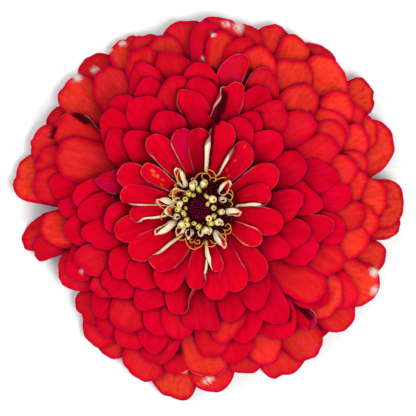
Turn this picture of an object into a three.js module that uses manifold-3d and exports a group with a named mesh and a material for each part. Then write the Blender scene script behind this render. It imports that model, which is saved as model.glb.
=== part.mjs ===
// A fully double zinnia bloom, picked just under its bracts and set down face up.
// Millimetres, +Z up. The origin is the middle of the flat cut that the bloom stands on, under the centre
// of its face, and azimuths run anticlockwise from +X as seen from above.
import * as THREE from "three";
import { mergeVertices } from "three/addons/utils/BufferGeometryUtils.js";
import Module from "manifold-3d";

const wasm = await Module();
wasm.setup();

// Driving dimensions
const BLOOM_RADIUS = 55; // mean reach of the outermost petals
const DOME_RISE = 36; // from the tips of the outermost petals up to the level of the innermost ones
const RIM_LEVEL = 3; // height at which the dome of petal tips ends, at the rim
const BLADE_THICKNESS = 0.7; // of a petal
const TIP_ROUNDING = 0.05; // how far the corners of a tip stay behind its middle, as a share of the blade
const NODE_GAP = 0.3; // between one piece and the next
const GOLDEN_ANGLE = 137.508; // between each scale of the eye and the one that grew before it

// Heights and radii that the pieces share
const CUT_RADIUS = 4.8; // the flat spot where the bloom was cut from its stem
const CUP_TOP = 14; // top of the green cup of bracts
const CUP_RADIUS = 12.6;
const CORE_FLOOR = CUP_TOP + NODE_GAP;
const CORE_TOP = 30.6; // flat crown of the petals' core, which carries the young florets
const CROWN_FLOOR = CORE_TOP + NODE_GAP;
// Outline of that core in radius and height, anticlockwise from the bottom.
const CORE_OUTLINE = [
  [0, CORE_FLOOR], [16, CORE_FLOOR], [23, 16], [24, 19.5], [15, 28.6], [9.6, CORE_TOP], [0, CORE_TOP],
];
const CHAFF_RADIUS = 3.5;
const BUD_RING = [CHAFF_RADIUS + NODE_GAP, 6.0]; // inner and outer radius of the buds' foot
const QUILL_RING = [BUD_RING[1] + NODE_GAP, 9.0];

// How far the bloom reaches at every 30 degrees of azimuth: it is fuller on the right and flat at 210.
const REACH_EVERY_30 = [56, 57, 55.7, 53.6, 52.6, 51.6, 52.2, 46.4, 50.2, 52.8, 53, 53.8];

// The outermost petals: azimuth, reach, half-width and height of the tip. Those below 1 reach the ground.
const RIM_PETALS = [
  [1, 56.1, 6.6, 6], [20, 57.0, 7.5, 4], [25, 53.7, 5.0, 8], [35, 58.0, 5.0, 4], [46, 55.2, 7.0, 7],
  [52, 57.1, 5.6, -0.6], [60, 55.4, 4.8, 6], [67, 55.7, 5.4, 4], [76, 53.0, 5.0, 5], [85, 54.3, 6.4, 6],
  [96, 52.9, 5.6, 4], [104, 49.9, 5.2, 7], [109, 51.5, 4.4, 4], [116, 53.0, 5.2, 3], [127, 53.7, 6.0, -0.4],
  [138, 53.0, 6.0, 5], [148, 51.2, 5.8, 4], [158, 52.6, 5.4, 5], [171, 54.7, 7.6, 4], [190, 52.6, 4.3, -0.57],
  [194, 50.0, 3.6, 4], [206, 45.7, 6.4, 6], [221, 47.0, 5.4, 5], [228, 50.0, 5.8, 3], [234, 50.5, 6.4, -0.22],
  [248, 51.9, 5.8, 4], [260, 55.0, 6.4, 3], [273, 52.3, 6.0, 5], [284, 48.8, 6.0, 6], [298, 53.6, 8.0, -0.22],
  [307, 52.4, 5.4, 5], [314, 50.3, 4.6, 4], [322, 53.0, 6.0, 4], [333, 55.1, 6.2, 3], [342, 53.4, 6.0, -0.46],
  [356, 56.3, 5.0, 5],
];

// The petals between the rim and the eye, in four uneven rows: azimuth, reach and half-width.
const MIDDLE_PETALS = [
  [3, 51.5, 6.5], [16, 48.0, 5.0], [24, 50.5, 5.2], [30, 52.0, 4.2], [36, 51.2, 4.8], [57, 49.8, 6.9],
  [70, 48.0, 5.9], [76, 49.5, 5.0], [83, 49.8, 4.8], [89, 52.8, 4.8], [113, 48.0, 4.8], [128, 48.5, 6.4],
  [150, 47.5, 4.8], [164, 49.3, 5.2], [172, 48.6, 5.4], [189, 46.8, 5.3], [231, 46.3, 5.2],
  [240, 46.0, 4.8], [251, 46.8, 5.2], [261, 47.8, 4.8], [271, 47.8, 6.8], [293, 48.4, 5.5], [322, 48.0, 7.0],
  [326, 50.7, 6.0], [347, 47.5, 5.6], [353, 49.0, 5.8],

  [8, 46.6, 5.4], [16, 44.5, 4.8], [29, 45.4, 5.2], [33, 47.2, 6.8], [49, 45.4, 5.3], [63, 42.6, 5.6],
  [78, 44.0, 4.2], [92, 40.8, 4.8], [102, 44.8, 5.4], [117, 44.8, 5.3], [128, 39.4, 4.4], [158, 44.2, 7.0],
  [173, 44.5, 5.0], [180, 41.1, 3.6], [190, 39.7, 5.2], [203, 42.7, 5.3], [219, 39.4, 5.2], [224, 43.1, 5.3],
  [236, 41.6, 5.6], [248, 43.7, 5.3], [273, 42.4, 5.3], [283, 45.2, 5.0], [301, 43.7, 6.0], [308, 45.0, 4.0],
  [312, 45.5, 3.0], [320, 43.9, 5.6], [321, 41.5, 5.6], [335, 42.2, 5.5], [350, 40.2, 4.3], [357, 45.0, 4.6],

  [4, 41.3, 4.5], [15, 39.1, 4.7], [27, 41.0, 4.8], [40, 39.4, 4.6], [51, 36.8, 4.9], [64, 37.4, 4.2],
  [75, 36.0, 4.6], [92, 36.2, 4.9], [98, 33.4, 4.7], [105, 37.4, 5.0], [115, 39.5, 4.9], [122, 36.0, 5.2],
  [138, 38.2, 5.0], [145, 34.0, 4.8], [173, 36.4, 4.5], [185, 35.3, 5.0], [196, 34.8, 5.0], [206, 39.1, 5.2],
  [221, 35.9, 5.2], [238, 34.0, 5.1], [249, 38.2, 4.5], [259, 37.5, 4.7], [269, 34.4, 5.0], [280, 39.0, 5.1],
  [289, 39.7, 4.7], [302, 39.4, 5.3], [336, 34.1, 5.0], [349, 36.5, 4.5],

  [4, 33.1, 5.6], [25, 31.0, 4.6], [42, 29.2, 4.5], [61, 30.4, 4.5], [66, 27.0, 4.2],
  [113, 29.2, 4.9], [139, 29.8, 4.7], [164, 31.1, 4.2], [185, 28.1, 4.8], [213, 31.8, 4.4], [227, 29.5, 4.9],
  [254, 30.8, 3.8], [286, 32.7, 4.9], [302, 32.2, 5.0], [329, 27.0, 4.7], [344, 30.6, 4.6], [4, 27.6, 4.3],
];
const MIDDLE_ENDS = [50.8, 26.4]; // reach of the first and of the last row, between which petals age

// Where the petals leave the core, in radius and height: at the rim, then the first and the last of the
// middle rows, then round the eye.
const RIM_ROOT = [10, 16];
const MIDDLE_ROOTS = [[10, 16.4], [9.5, 28]];
const EYE_ROOT = [9.9, 28.4];
const RIM_TIP_SLOPE = 36; // degrees below level, at a rim petal's tip
const MIDDLE_TIP_SLOPES = [33, 10]; // the same of the first and the last of the middle rows
const SPINE_ABOVE_TIP = 0.45; // from a rim petal's lowest point up to its spine

// The petals round the eye: azimuth, reach, half-width, and how far the clockwise and the anticlockwise
// margin roll up, in radians.
const EYE_PETALS = [
  [13, 18.9, 3.3, 2.4, 0], [27, 22.9, 4.1, 0, 0], [53, 21.4, 3.1, 0, 2.0], [75, 24.3, 3.8, 0, 0],
  [95, 21.8, 3.1, 2.6, 0], [108, 22.6, 3.3, 0, 0.5], [128, 24.6, 3.6, 0, 0.6], [147, 20.4, 2.5, 0.6, 0.6],
  [157, 25.7, 3.8, 0, 0], [171, 23.4, 3.1, 0, 1.6], [186, 20.6, 2.5, 0.4, 2.4], [197, 25.7, 4.0, 0, 0],
  [213, 24.4, 3.7, 0, 0.5], [226, 21.8, 2.9, 2.2, 0.4], [243, 25.7, 4.4, 0, 0], [264, 22.9, 3.2, 0, 1.8],
  [281, 18.3, 2.1, 2.6, 0.5], [279, 26.0, 3.8, 0, 0], [293, 25.2, 4.0, 0, 0.6], [310, 25.7, 4.2, 0, 0],
  [328, 18.6, 2.7, 0.5, 0.5], [347, 22.4, 3.9, 0, 0],
];
const EYE_ENDS = [18, 26]; // reach of the shortest and of the longest of them
const EYE_TIP_HEIGHTS = [38.4, 36]; // height of the tips of those two

// The young florets stand a little left of the bloom's middle, in X and Y.
const EYE_SHIFT = [-1.2, -0.3];

// The young petals still rolled into quills: azimuth, radius of the tip, both about the shifted eye, and
// half-width of the rolled blade.
const QUILLS = [
  [21, 8.0, 2.0], [42, 11.3, 2.9], [80, 8.1, 2.1], [101, 7.9, 2.0], [120, 12.9, 3.0], [144, 9.0, 2.6],
  [164, 7.9, 1.9], [173, 12.2, 2.8], [185, 9.8, 2.7], [200, 8.0, 1.9], [213, 14.4, 3.0], [232, 10.0, 2.6],
  [251, 9.3, 2.4], [274, 8.0, 2.1], [289, 7.9, 1.9], [300, 13.2, 3.0], [325, 8.1, 2.1], [357, 11.7, 2.8],
];
const QUILL_ROOTS = [7.0, 7.65]; // radius at which the shortest and the longest of them are rooted

// The buds of the next petals: azimuth, radius, size of the mouth, and height.
const BUDS = [
  [2, 4.8, 0.9, 5.2], [24, 4.7, 0.75, 4.6], [38, 5.0, 1.0, 5.7], [68, 4.7, 0.7, 4.7],
  [84, 5.0, 0.9, 5.5], [111, 4.7, 0.8, 5.0], [128, 4.9, 0.95, 5.4], [147, 4.8, 0.9, 5.0],
  [179, 5.0, 0.9, 5.5], [206, 4.8, 0.85, 5.0], [225, 4.9, 0.8, 4.9], [240, 5.0, 0.95, 5.5],
  [273, 4.8, 0.85, 5.2], [302, 4.9, 0.8, 5.0], [322, 4.9, 0.95, 5.5],
];
const CONE_RISE = 4.2;
const CHAFF_SCALES = { count: 30, height: 1.5, halfWidth: 0.62 };
const STYLES = { count: 12, radius: 0.4, start: 31 };
const FOOT_HEIGHT = 1.5; // of the rings from which the quills and the buds rise
const SUNK = 0.5; // how deep they are rooted in those rings
// Rows of bracts: count, height of the root and of the tip, half-width, how far the tip stands off, azimuth.
const BRACT_ROWS = [
  [7, 1.6, 6.4, 3.6, 1.9, 0],
  [9, 4.2, 10.0, 3.7, 1.7, 20],
  [11, 8.0, 13.6, 3.5, 0.9, 5],
];

const radians = THREE.MathUtils.degToRad;
const lerp = THREE.MathUtils.lerp;

// A repeatable random number from -1 to 1 for a whole number and a use.
function jitter(index, use) {
  const wave = Math.sin(index * 12.9898 + use * 78.233) * 43758.5453;
  return 2 * (wave - Math.floor(wave)) - 1;
}

// How far the bloom reaches at an azimuth, in degrees, as a share of its mean radius.
function fullness(azimuth) {
  const steps = REACH_EVERY_30.length;
  const place = ((((azimuth % 360) + 360) % 360) / 360) * steps;
  const step = Math.floor(place);
  const blend = THREE.MathUtils.smoothstep(place - step, 0, 1);
  return lerp(REACH_EVERY_30[step], REACH_EVERY_30[(step + 1) % steps], blend) / BLOOM_RADIUS;
}

// Height of the dome of petal tips at a radius that is not yet stretched by the fullness.
function domeHeight(radius) {
  const share = Math.min(1, radius / (BLOOM_RADIUS + 1.5));
  return RIM_LEVEL + DOME_RISE * (1 - share ** 2.3) ** 0.85;
}

// The line along a petal, in radius and height: it climbs from its root and arches over to its tip.
function petalSpine(root, reach, tipHeight, tipSlope) {
  const elbow = lerp(root.x, reach, 0.55);
  const lift = Math.tan(radians(tipSlope)) * (reach - elbow);
  const bend = new THREE.Vector2(elbow, tipHeight + lift);
  return new THREE.QuadraticBezierCurve(root, bend, new THREE.Vector2(reach, tipHeight));
}

// Every ray petal as one record: age runs from 0 at the rim to 1 at the eye.
function rayPetals() {
  const rim = RIM_PETALS.map(([azimuth, reach, halfWidth, tipHeight], i) => ({
    azimuth, halfWidth, rolls: [0, 0], curl: -0.8, from: 0.14,
    twist: 0.16 + 0.04 * jitter(i, 1),
    spine: petalSpine(new THREE.Vector2(...RIM_ROOT), reach, tipHeight + SPINE_ABOVE_TIP, RIM_TIP_SLOPE),
  }));
  const middle = MIDDLE_PETALS.map(([azimuth, reach, halfWidth], k) => {
    const plain = reach / (1 + (fullness(azimuth) - 1) * (reach / BLOOM_RADIUS) ** 2);
    const [first, last] = MIDDLE_ENDS;
    const age = THREE.MathUtils.clamp((first ** 2 - plain ** 2) / (first ** 2 - last ** 2), 0, 1);
    const [oldest, youngest] = MIDDLE_ROOTS.map((root) => new THREE.Vector2(...root));
    const tipHeight = domeHeight(plain) + 0.3 * jitter(k, 7);
    return {
      azimuth, halfWidth, rolls: [0, 0], from: lerp(0.2, 0.05, age),
      curl: lerp(-0.75, -0.35, age) + 0.15 * jitter(k, 5),
      twist: 0.05 + 0.05 * jitter(k, 6),
      spine: petalSpine(oldest.lerp(youngest, age), reach, tipHeight, lerp(...MIDDLE_TIP_SLOPES, age)),
    };
  });
  const eye = EYE_PETALS.map(([azimuth, reach, halfWidth, clockwise, anticlockwise], i) => {
    const outward = (reach - EYE_ENDS[0]) / (EYE_ENDS[1] - EYE_ENDS[0]);
    const tipHeight = lerp(...EYE_TIP_HEIGHTS, outward);
    return {
      azimuth, halfWidth, rolls: [clockwise, anticlockwise], curl: 0.3, from: 0,
      twist: 0.16 + 0.04 * jitter(i, 8),
      spine: petalSpine(new THREE.Vector2(...EYE_ROOT), reach, tipHeight, lerp(0, 6, outward)),
    };
  });
  return [...rim, ...middle, ...eye];
}

// Share of the full half-width along a petal: a narrow claw, a broad limb and a rounded tip.
function petalWidth(along) {
  const claw = lerp(0.34, 1, THREE.MathUtils.smoothstep(along, 0, 0.62));
  const tip = along < 0.66 ? 1 : Math.sqrt(1 - 0.64 * ((along - 0.66) / 0.34) ** 4);
  return claw * tip;
}

// A thin closed blade along a spine that stands in the upright plane at an azimuth. Across, it bends by
// curl radians in all, margins up where curl is positive, and each margin may roll further. Its tip is
// rounded.
function blade({
  azimuth, spine, stations, widthAt, halfWidth, curl, rolls = [0, 0], twist = 0, columns = 2,
  flatBelow = false,
}) {
  const out = new THREE.Vector3(Math.cos(radians(azimuth)), Math.sin(radians(azimuth)), 0);
  const side = new THREE.Vector3(-out.y, out.x, 0);
  const up = new THREE.Vector3(0, 0, 1);
  const points = [];
  const upper = [];
  const lower = [];
  stations.forEach((station, row) => {
    upper.push([]);
    lower.push([]);
    for (let column = 0; column <= columns; column++) {
      const share = (2 * column) / columns - 1;
      const along = row === stations.length - 1 ? station - TIP_ROUNDING * share ** 2 : station;
      const point = spine.getPoint(along);
      const tangent = spine.getTangent(along);
      const forward = out.clone().multiplyScalar(tangent.x).addScaledVector(up, tangent.y);
      const across = side.clone().applyAxisAngle(forward, twist * along);
      const normal = new THREE.Vector3().crossVectors(forward, across);
      const { sideways, rise, lean } = crossSection(share, halfWidth * widthAt(station), curl, rolls);
      const centre = out.clone().multiplyScalar(point.x).addScaledVector(up, point.y)
        .addScaledVector(across, sideways).addScaledVector(normal, rise);
      const thick = normal.clone().multiplyScalar(Math.cos(lean)).addScaledVector(across, -Math.sin(lean));
      upper[row].push(points.push(centre.clone().addScaledVector(thick, BLADE_THICKNESS / 2)) - 1);
      if (!flatBelow || Math.abs(share) === 1) {
        lower[row].push(points.push(centre.clone().addScaledVector(thick, -BLADE_THICKNESS / 2)) - 1);
      }
    }
  });
  return closedSheet(points, upper, lower);
}

// Where a point lies across a blade: its sideways place, its rise and the lean of the surface there.
// The bend is even, and past half-way to a margin that margin's roll is added to it.
function crossSection(share, half, curl, rolls) {
  const steps = 6;
  const roll = share < 0 ? rolls[0] : rolls[1];
  let sideways = 0;
  let rise = 0;
  let lean = 0;
  for (let step = 0; step < steps; step++) {
    const out = (Math.abs(share) * (step + 0.5)) / steps;
    lean = (curl / 2) * out + roll * Math.max(0, 2 * out - 1) ** 1.2;
    sideways += (Math.cos(lean) * half * Math.abs(share)) / steps;
    rise += (Math.sin(lean) * half * Math.abs(share)) / steps;
  }
  return { sideways: Math.sign(share) * sideways, rise, lean: Math.sign(share) * lean };
}

// Closes an upper and a lower sheet, each a list of rows of point numbers, into one geometry, faces out.
function closedSheet(points, upper, lower) {
  const ends = (row) => [row[0], row[row.length - 1]];
  const index = [];
  for (let row = 0; row < upper.length - 1; row++) {
    index.push(...band(upper[row + 1], upper[row]));
    index.push(...band(lower[row + 1], lower[row]).reverse());
    const [upperFirst, upperLast] = ends(upper[row]);
    const [lowerFirst, lowerLast] = ends(lower[row]);
    const [upperNextFirst, upperNextLast] = ends(upper[row + 1]);
    const [lowerNextFirst, lowerNextLast] = ends(lower[row + 1]);
    index.push(...band([lowerFirst, lowerNextFirst], [upperFirst, upperNextFirst]));
    index.push(...band([lowerLast, lowerNextLast], [upperLast, upperNextLast]).reverse());
  }
  index.push(...band(upper[0], lower[0]));
  index.push(...band(upper[upper.length - 1], lower[lower.length - 1]).reverse());
  return new THREE.BufferGeometry().setFromPoints(points).setIndex(index);
}

// The triangles between two rows of points, which may differ in number.
function band(first, second) {
  const index = [];
  let i = 0;
  let j = 0;
  while (i < first.length - 1 || j < second.length - 1) {
    const nextOnFirst = (i + 1) / (first.length - 1);
    const nextOnSecond = (j + 1) / (second.length - 1);
    if (nextOnFirst <= nextOnSecond) {
      index.push(first[i], first[i + 1], second[j]);
      i += 1;
    } else {
      index.push(first[i], second[j + 1], second[j]);
      j += 1;
    }
  }
  return index;
}

// A closed geometry as a solid that can be joined and cut.
function solid(geometry) {
  const bare = geometry.clone();
  bare.deleteAttribute("normal");
  bare.deleteAttribute("uv");
  const merged = mergeVertices(bare, 1e-4);
  return new wasm.Manifold(new wasm.Mesh({
    numProp: 3,
    vertProperties: merged.attributes.position.array,
    triVerts: new Uint32Array(merged.index.array),
  }));
}

// Joins solids two by two, which keeps each join small.
function joined(solids) {
  let row = solids;
  while (row.length > 1) {
    const next = [];
    for (let i = 0; i < row.length; i += 2) next.push(i + 1 < row.length ? row[i].add(row[i + 1]) : row[i]);
    row = next;
  }
  return row[0];
}

function toGeometry(body) {
  const mesh = body.getMesh();
  return new THREE.BufferGeometry()
    .setAttribute("position", new THREE.BufferAttribute(Float32Array.from(mesh.vertProperties), 3))
    .setIndex(new THREE.BufferAttribute(Uint32Array.from(mesh.triVerts), 1));
}

// A solid turned about +Z from its outline in radius and height, listed anticlockwise from the bottom.
function turned(outline, sides) {
  const points = outline.map(([radius, height]) => new THREE.Vector2(radius, height));
  return solid(new THREE.LatheGeometry(points, sides).rotateX(Math.PI / 2));
}

function isRolled({ rolls }) {
  return rolls[0] + rolls[1] > 1;
}

// The red bloom: a core with every ray petal fused to it.
function rayPetalBody() {
  const blades = rayPetals().map((petal) => solid(blade({
    ...petal,
    widthAt: petalWidth,
    stations: [petal.from, 0.58, 0.88, 1],
    columns: isRolled(petal) ? 4 : 2,
    flatBelow: !isRolled(petal),
  })));
  return joined([turned(CORE_OUTLINE, 12), ...blades]);
}

// A foot in the shape of a ring, from which the florets of the crown rise.
function ringFoot([inner, outer], sides) {
  const floor = CROWN_FLOOR;
  const top = CROWN_FLOOR + FOOT_HEIGHT;
  return turned([[inner, floor], [outer, floor], [outer, top], [inner, top], [inner, floor]], sides);
}

// The cream young petals, rolled into quills that open at the tip, with the gold styles between them.
function quilledFloretBody() {
  const quills = QUILLS.map(([azimuth, reach, halfWidth]) => {
    const root = new THREE.Vector2(lerp(...QUILL_ROOTS, Math.min(1, (reach - 8) / 2)), CROWN_FLOOR + SUNK);
    const tip = new THREE.Vector2(reach, 37.6 - 0.25 * (reach - 9));
    const elbow = new THREE.Vector2(lerp(root.x, tip.x, 0.4), 36);
    return solid(blade({
      azimuth, halfWidth, curl: 4.2, columns: 4, stations: [0, 0.6, 1],
      spine: new THREE.QuadraticBezierCurve(root, elbow, tip),
      widthAt: (along) => lerp(0.62, 1, along),
    }));
  });
  const styles = Array.from({ length: STYLES.count }, (_, k) => styleSolid(k));
  return joined([ringFoot(QUILL_RING, 18), ...quills, ...styles]);
}

// One gold style: it rises from the foot, leans out and curls over at its end.
function styleSolid(k) {
  const azimuth = radians(STYLES.start + (k * 360) / STYLES.count + 4 * jitter(k, 9));
  const foot = QUILL_RING[1] - 0.6;
  const place = (radius, height, turn) =>
    new THREE.Vector3(radius * Math.cos(azimuth + turn), radius * Math.sin(azimuth + turn), height);
  const path = new THREE.CatmullRomCurve3([
    place(foot, CROWN_FLOOR + 0.8, 0), place(foot + 0.3, 34.8, 0.01), place(foot + 1, 37.6, 0.03),
    place(foot + 2.4, 39, 0.1), place(foot + 3.4, 38.2, 0.2),
  ]);
  const section = new THREE.Shape([[1, 0], [0, 1], [-1, 0], [0, -1]].map(([x, y]) =>
    new THREE.Vector2(x, y).multiplyScalar(STYLES.radius)));
  return solid(new THREE.ExtrudeGeometry(section, { extrudePath: path, steps: 4, bevelEnabled: false }));
}

// The yellow-green buds of the next petals: short tubes with a dimple in the mouth.
function floretBudBody() {
  const buds = BUDS.map(([azimuth, radius, mouth, top]) => {
    const outline = [[0, 0], [0.62 * mouth, 0], [mouth, 0.7 * top], [0.85 * mouth, top], [0, top - 0.7]];
    return turned(outline, 6).translate([
      radius * Math.cos(radians(azimuth)), radius * Math.sin(radians(azimuth)), CROWN_FLOOR + SUNK,
    ]);
  });
  return joined([ringFoot(BUD_RING, 16), ...buds]);
}

// The dark eye: a low cone covered by pointed scales in a golden-angle spiral.
function chaffConeBody() {
  const cone = turned([
    [0, CROWN_FLOOR], [CHAFF_RADIUS - 0.3, CROWN_FLOOR], [CHAFF_RADIUS - 0.5, CROWN_FLOOR + 1.6],
    [1.8, CROWN_FLOOR + CONE_RISE - 0.5], [0, CROWN_FLOOR + CONE_RISE],
  ], 12);
  const scales = Array.from({ length: CHAFF_SCALES.count }, (_, k) => {
    const radius = (CHAFF_RADIUS - 0.75) * Math.sqrt((k + 0.5) / CHAFF_SCALES.count);
    const azimuth = radians(k * GOLDEN_ANGLE);
    const foot = CROWN_FLOOR + CONE_RISE * (1 - 0.6 * (radius / CHAFF_RADIUS) ** 2) - 1.2;
    const scale = turned([[0, 0], [CHAFF_SCALES.halfWidth, 0.3], [0, 1.2 + CHAFF_SCALES.height]], 4);
    return scale.translate([radius * Math.cos(azimuth), radius * Math.sin(azimuth), foot]);
  });
  return joined([cone, ...scales]);
}

// Radius of the green bowl at a height: it swells from the flat cut to the top of the cup.
function bowlRadius(height) {
  return lerp(CUT_RADIUS, CUP_RADIUS, Math.sin((height / CUP_TOP) * (Math.PI / 2)));
}

// The green cup under the bloom: overlapping bracts on a bowl that ends in the flat cut.
function involucreBody() {
  const heights = [0, 0.2, 0.45, 0.7, 1].map((share) => share * CUP_TOP);
  const bowl = turned([[0, 0], ...heights.map((height) => [bowlRadius(height), height]), [0, CUP_TOP]], 20);
  const bracts = BRACT_ROWS.flatMap(([count, rootHeight, tipHeight, halfWidth, standOff, first]) =>
    Array.from({ length: count }, (_, k) => {
      const middle = (rootHeight + tipHeight) / 2;
      const root = new THREE.Vector2(bowlRadius(rootHeight) - 1, rootHeight);
      const elbow = new THREE.Vector2(bowlRadius(middle) + standOff, middle);
      const tip = new THREE.Vector2(bowlRadius(tipHeight) + standOff, tipHeight);
      return solid(blade({
        azimuth: first + (k * 360) / count, halfWidth, curl: 0.5, stations: [0, 0.6, 1],
        spine: new THREE.QuadraticBezierCurve(root, elbow, tip),
        widthAt: (along) => lerp(1, 0.5, along ** 2),
      }));
    }));
  return joined([bowl, ...bracts]);
}

const LOOKS = {
  involucre: { color: 0x5d7a34, roughness: 0.7 },
  ray_petals: { color: 0xc8102a, roughness: 0.6 },
  quilled_florets: { color: 0xe9dca6, roughness: 0.6 },
  floret_buds: { color: 0xc9c64e, roughness: 0.6 },
  chaff_cone: { color: 0x4d0f1f, roughness: 0.7 },
};
const BODIES = {
  involucre: involucreBody,
  ray_petals: rayPetalBody,
  quilled_florets: () => quilledFloretBody().translate([...EYE_SHIFT, 0]),
  floret_buds: () => floretBudBody().translate([...EYE_SHIFT, 0]),
  chaff_cone: () => chaffConeBody().translate([...EYE_SHIFT, 0]),
};

const zinnia = new THREE.Group();
for (const [name, make] of Object.entries(BODIES)) {
  const look = new THREE.MeshStandardMaterial({ ...LOOKS[name], metalness: 0 });
  const mesh = new THREE.Mesh(toGeometry(make()), look);
  mesh.name = name;
  zinnia.add(mesh);
}

export default zinnia;
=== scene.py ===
"""The looks of a fully double red zinnia bloom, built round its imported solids.

Sizes are in millimetres, as the bloom was drawn, and a piece turns them into metres when its mesh is made.
Azimuths are in degrees, anticlockwise from +X as seen from above. +Z points up out of the bloom's face.
"""
import math
from types import SimpleNamespace

import bpy
import numpy as np
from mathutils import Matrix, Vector


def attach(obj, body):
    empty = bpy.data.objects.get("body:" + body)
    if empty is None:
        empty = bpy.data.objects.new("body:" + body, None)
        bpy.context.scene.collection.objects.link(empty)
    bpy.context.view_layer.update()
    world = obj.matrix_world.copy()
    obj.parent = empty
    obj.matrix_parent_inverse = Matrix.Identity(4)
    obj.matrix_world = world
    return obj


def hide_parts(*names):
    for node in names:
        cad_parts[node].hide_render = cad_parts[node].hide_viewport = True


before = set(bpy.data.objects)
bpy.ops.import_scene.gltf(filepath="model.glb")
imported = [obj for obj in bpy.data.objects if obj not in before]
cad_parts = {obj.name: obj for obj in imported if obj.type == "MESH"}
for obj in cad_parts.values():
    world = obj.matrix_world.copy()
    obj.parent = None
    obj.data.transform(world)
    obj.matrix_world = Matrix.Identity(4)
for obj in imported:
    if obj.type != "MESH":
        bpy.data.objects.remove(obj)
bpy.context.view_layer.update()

MM = 0.001  # metres in a millimetre

# Driving dimensions, as in the solids
BLOOM_RADIUS = 55.0
DOME_RISE = 36.0
RIM_LEVEL = 3.0
GOLDEN_ANGLE = 137.508
CUT_RADIUS = 4.8
CUP_TOP = 14.0
CUP_RADIUS = 12.6
CORE_FLOOR = 14.3
CROWN_FLOOR = 30.9
CHAFF_RADIUS = 3.5
SPINE_ABOVE_TIP = 0.45
EYE_SHIFT = np.array((-1.2, -0.3, 0.0))

# How far the bloom reaches at every 30 degrees of azimuth
REACH_EVERY_30 = [56, 57, 55.7, 53.6, 52.6, 51.6, 52.2, 46.4, 50.2, 52.8, 53, 53.8]

# The outermost petals: azimuth, reach, half-width, height of the tip, and warmth, from 0 for crimson to 1 for
# orange; the orange is partly the petal's own colour and partly painted light shining through it
RIM_PETALS = [
    (1, 56.1, 6.6, 6, 0.7), (20, 57, 7.5, 4, 0.9), (25, 53.7, 5, 8, 0.9), (35, 58, 5, 4, 0.75),
    (46, 55.2, 7, 7, 1), (52, 57.1, 5.6, -0.6, 0.7), (60, 55.4, 4.8, 6, 0.9), (67, 55.7, 5.4, 4, 0.6),
    (76, 53, 5, 5, 0.3), (85, 54.3, 6.4, 6, 0.3), (96, 52.9, 5.6, 4, 0.3), (104, 49.9, 5.2, 7, 0.6),
    (109, 51.5, 4.4, 4, 0.4), (116, 53, 5.2, 3, 0.9), (127, 53.7, 6, -0.4, 0.3), (138, 53, 6, 5, 0.75),
    (148, 51.2, 5.8, 4, 0.3), (158, 52.6, 5.4, 5, 0.5), (171, 54.7, 7.6, 4, 1),
    (190, 52.6, 4.3, -0.57, 0.25), (194, 50, 3.6, 4, 0.1), (206, 45.7, 6.4, 6, 0.15),
    (221, 47, 5.4, 5, 0.15), (228, 50, 5.8, 3, 0.2), (234, 50.5, 6.4, -0.22, 0.45), (248, 51.9, 5.8, 4, 0.3),
    (260, 55, 6.4, 3, 1), (273, 52.3, 6, 5, 0.4), (284, 48.8, 6, 6, 0.3), (298, 53.6, 8, -0.22, 0.5),
    (307, 52.4, 5.4, 5, 0.6), (314, 50.3, 4.6, 4, 0.3), (322, 53, 6, 4, 0.5), (333, 55.1, 6.2, 3, 0.95),
    (342, 53.4, 6, -0.46, 0.85), (356, 56.3, 5, 5, 0.7),
]
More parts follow.
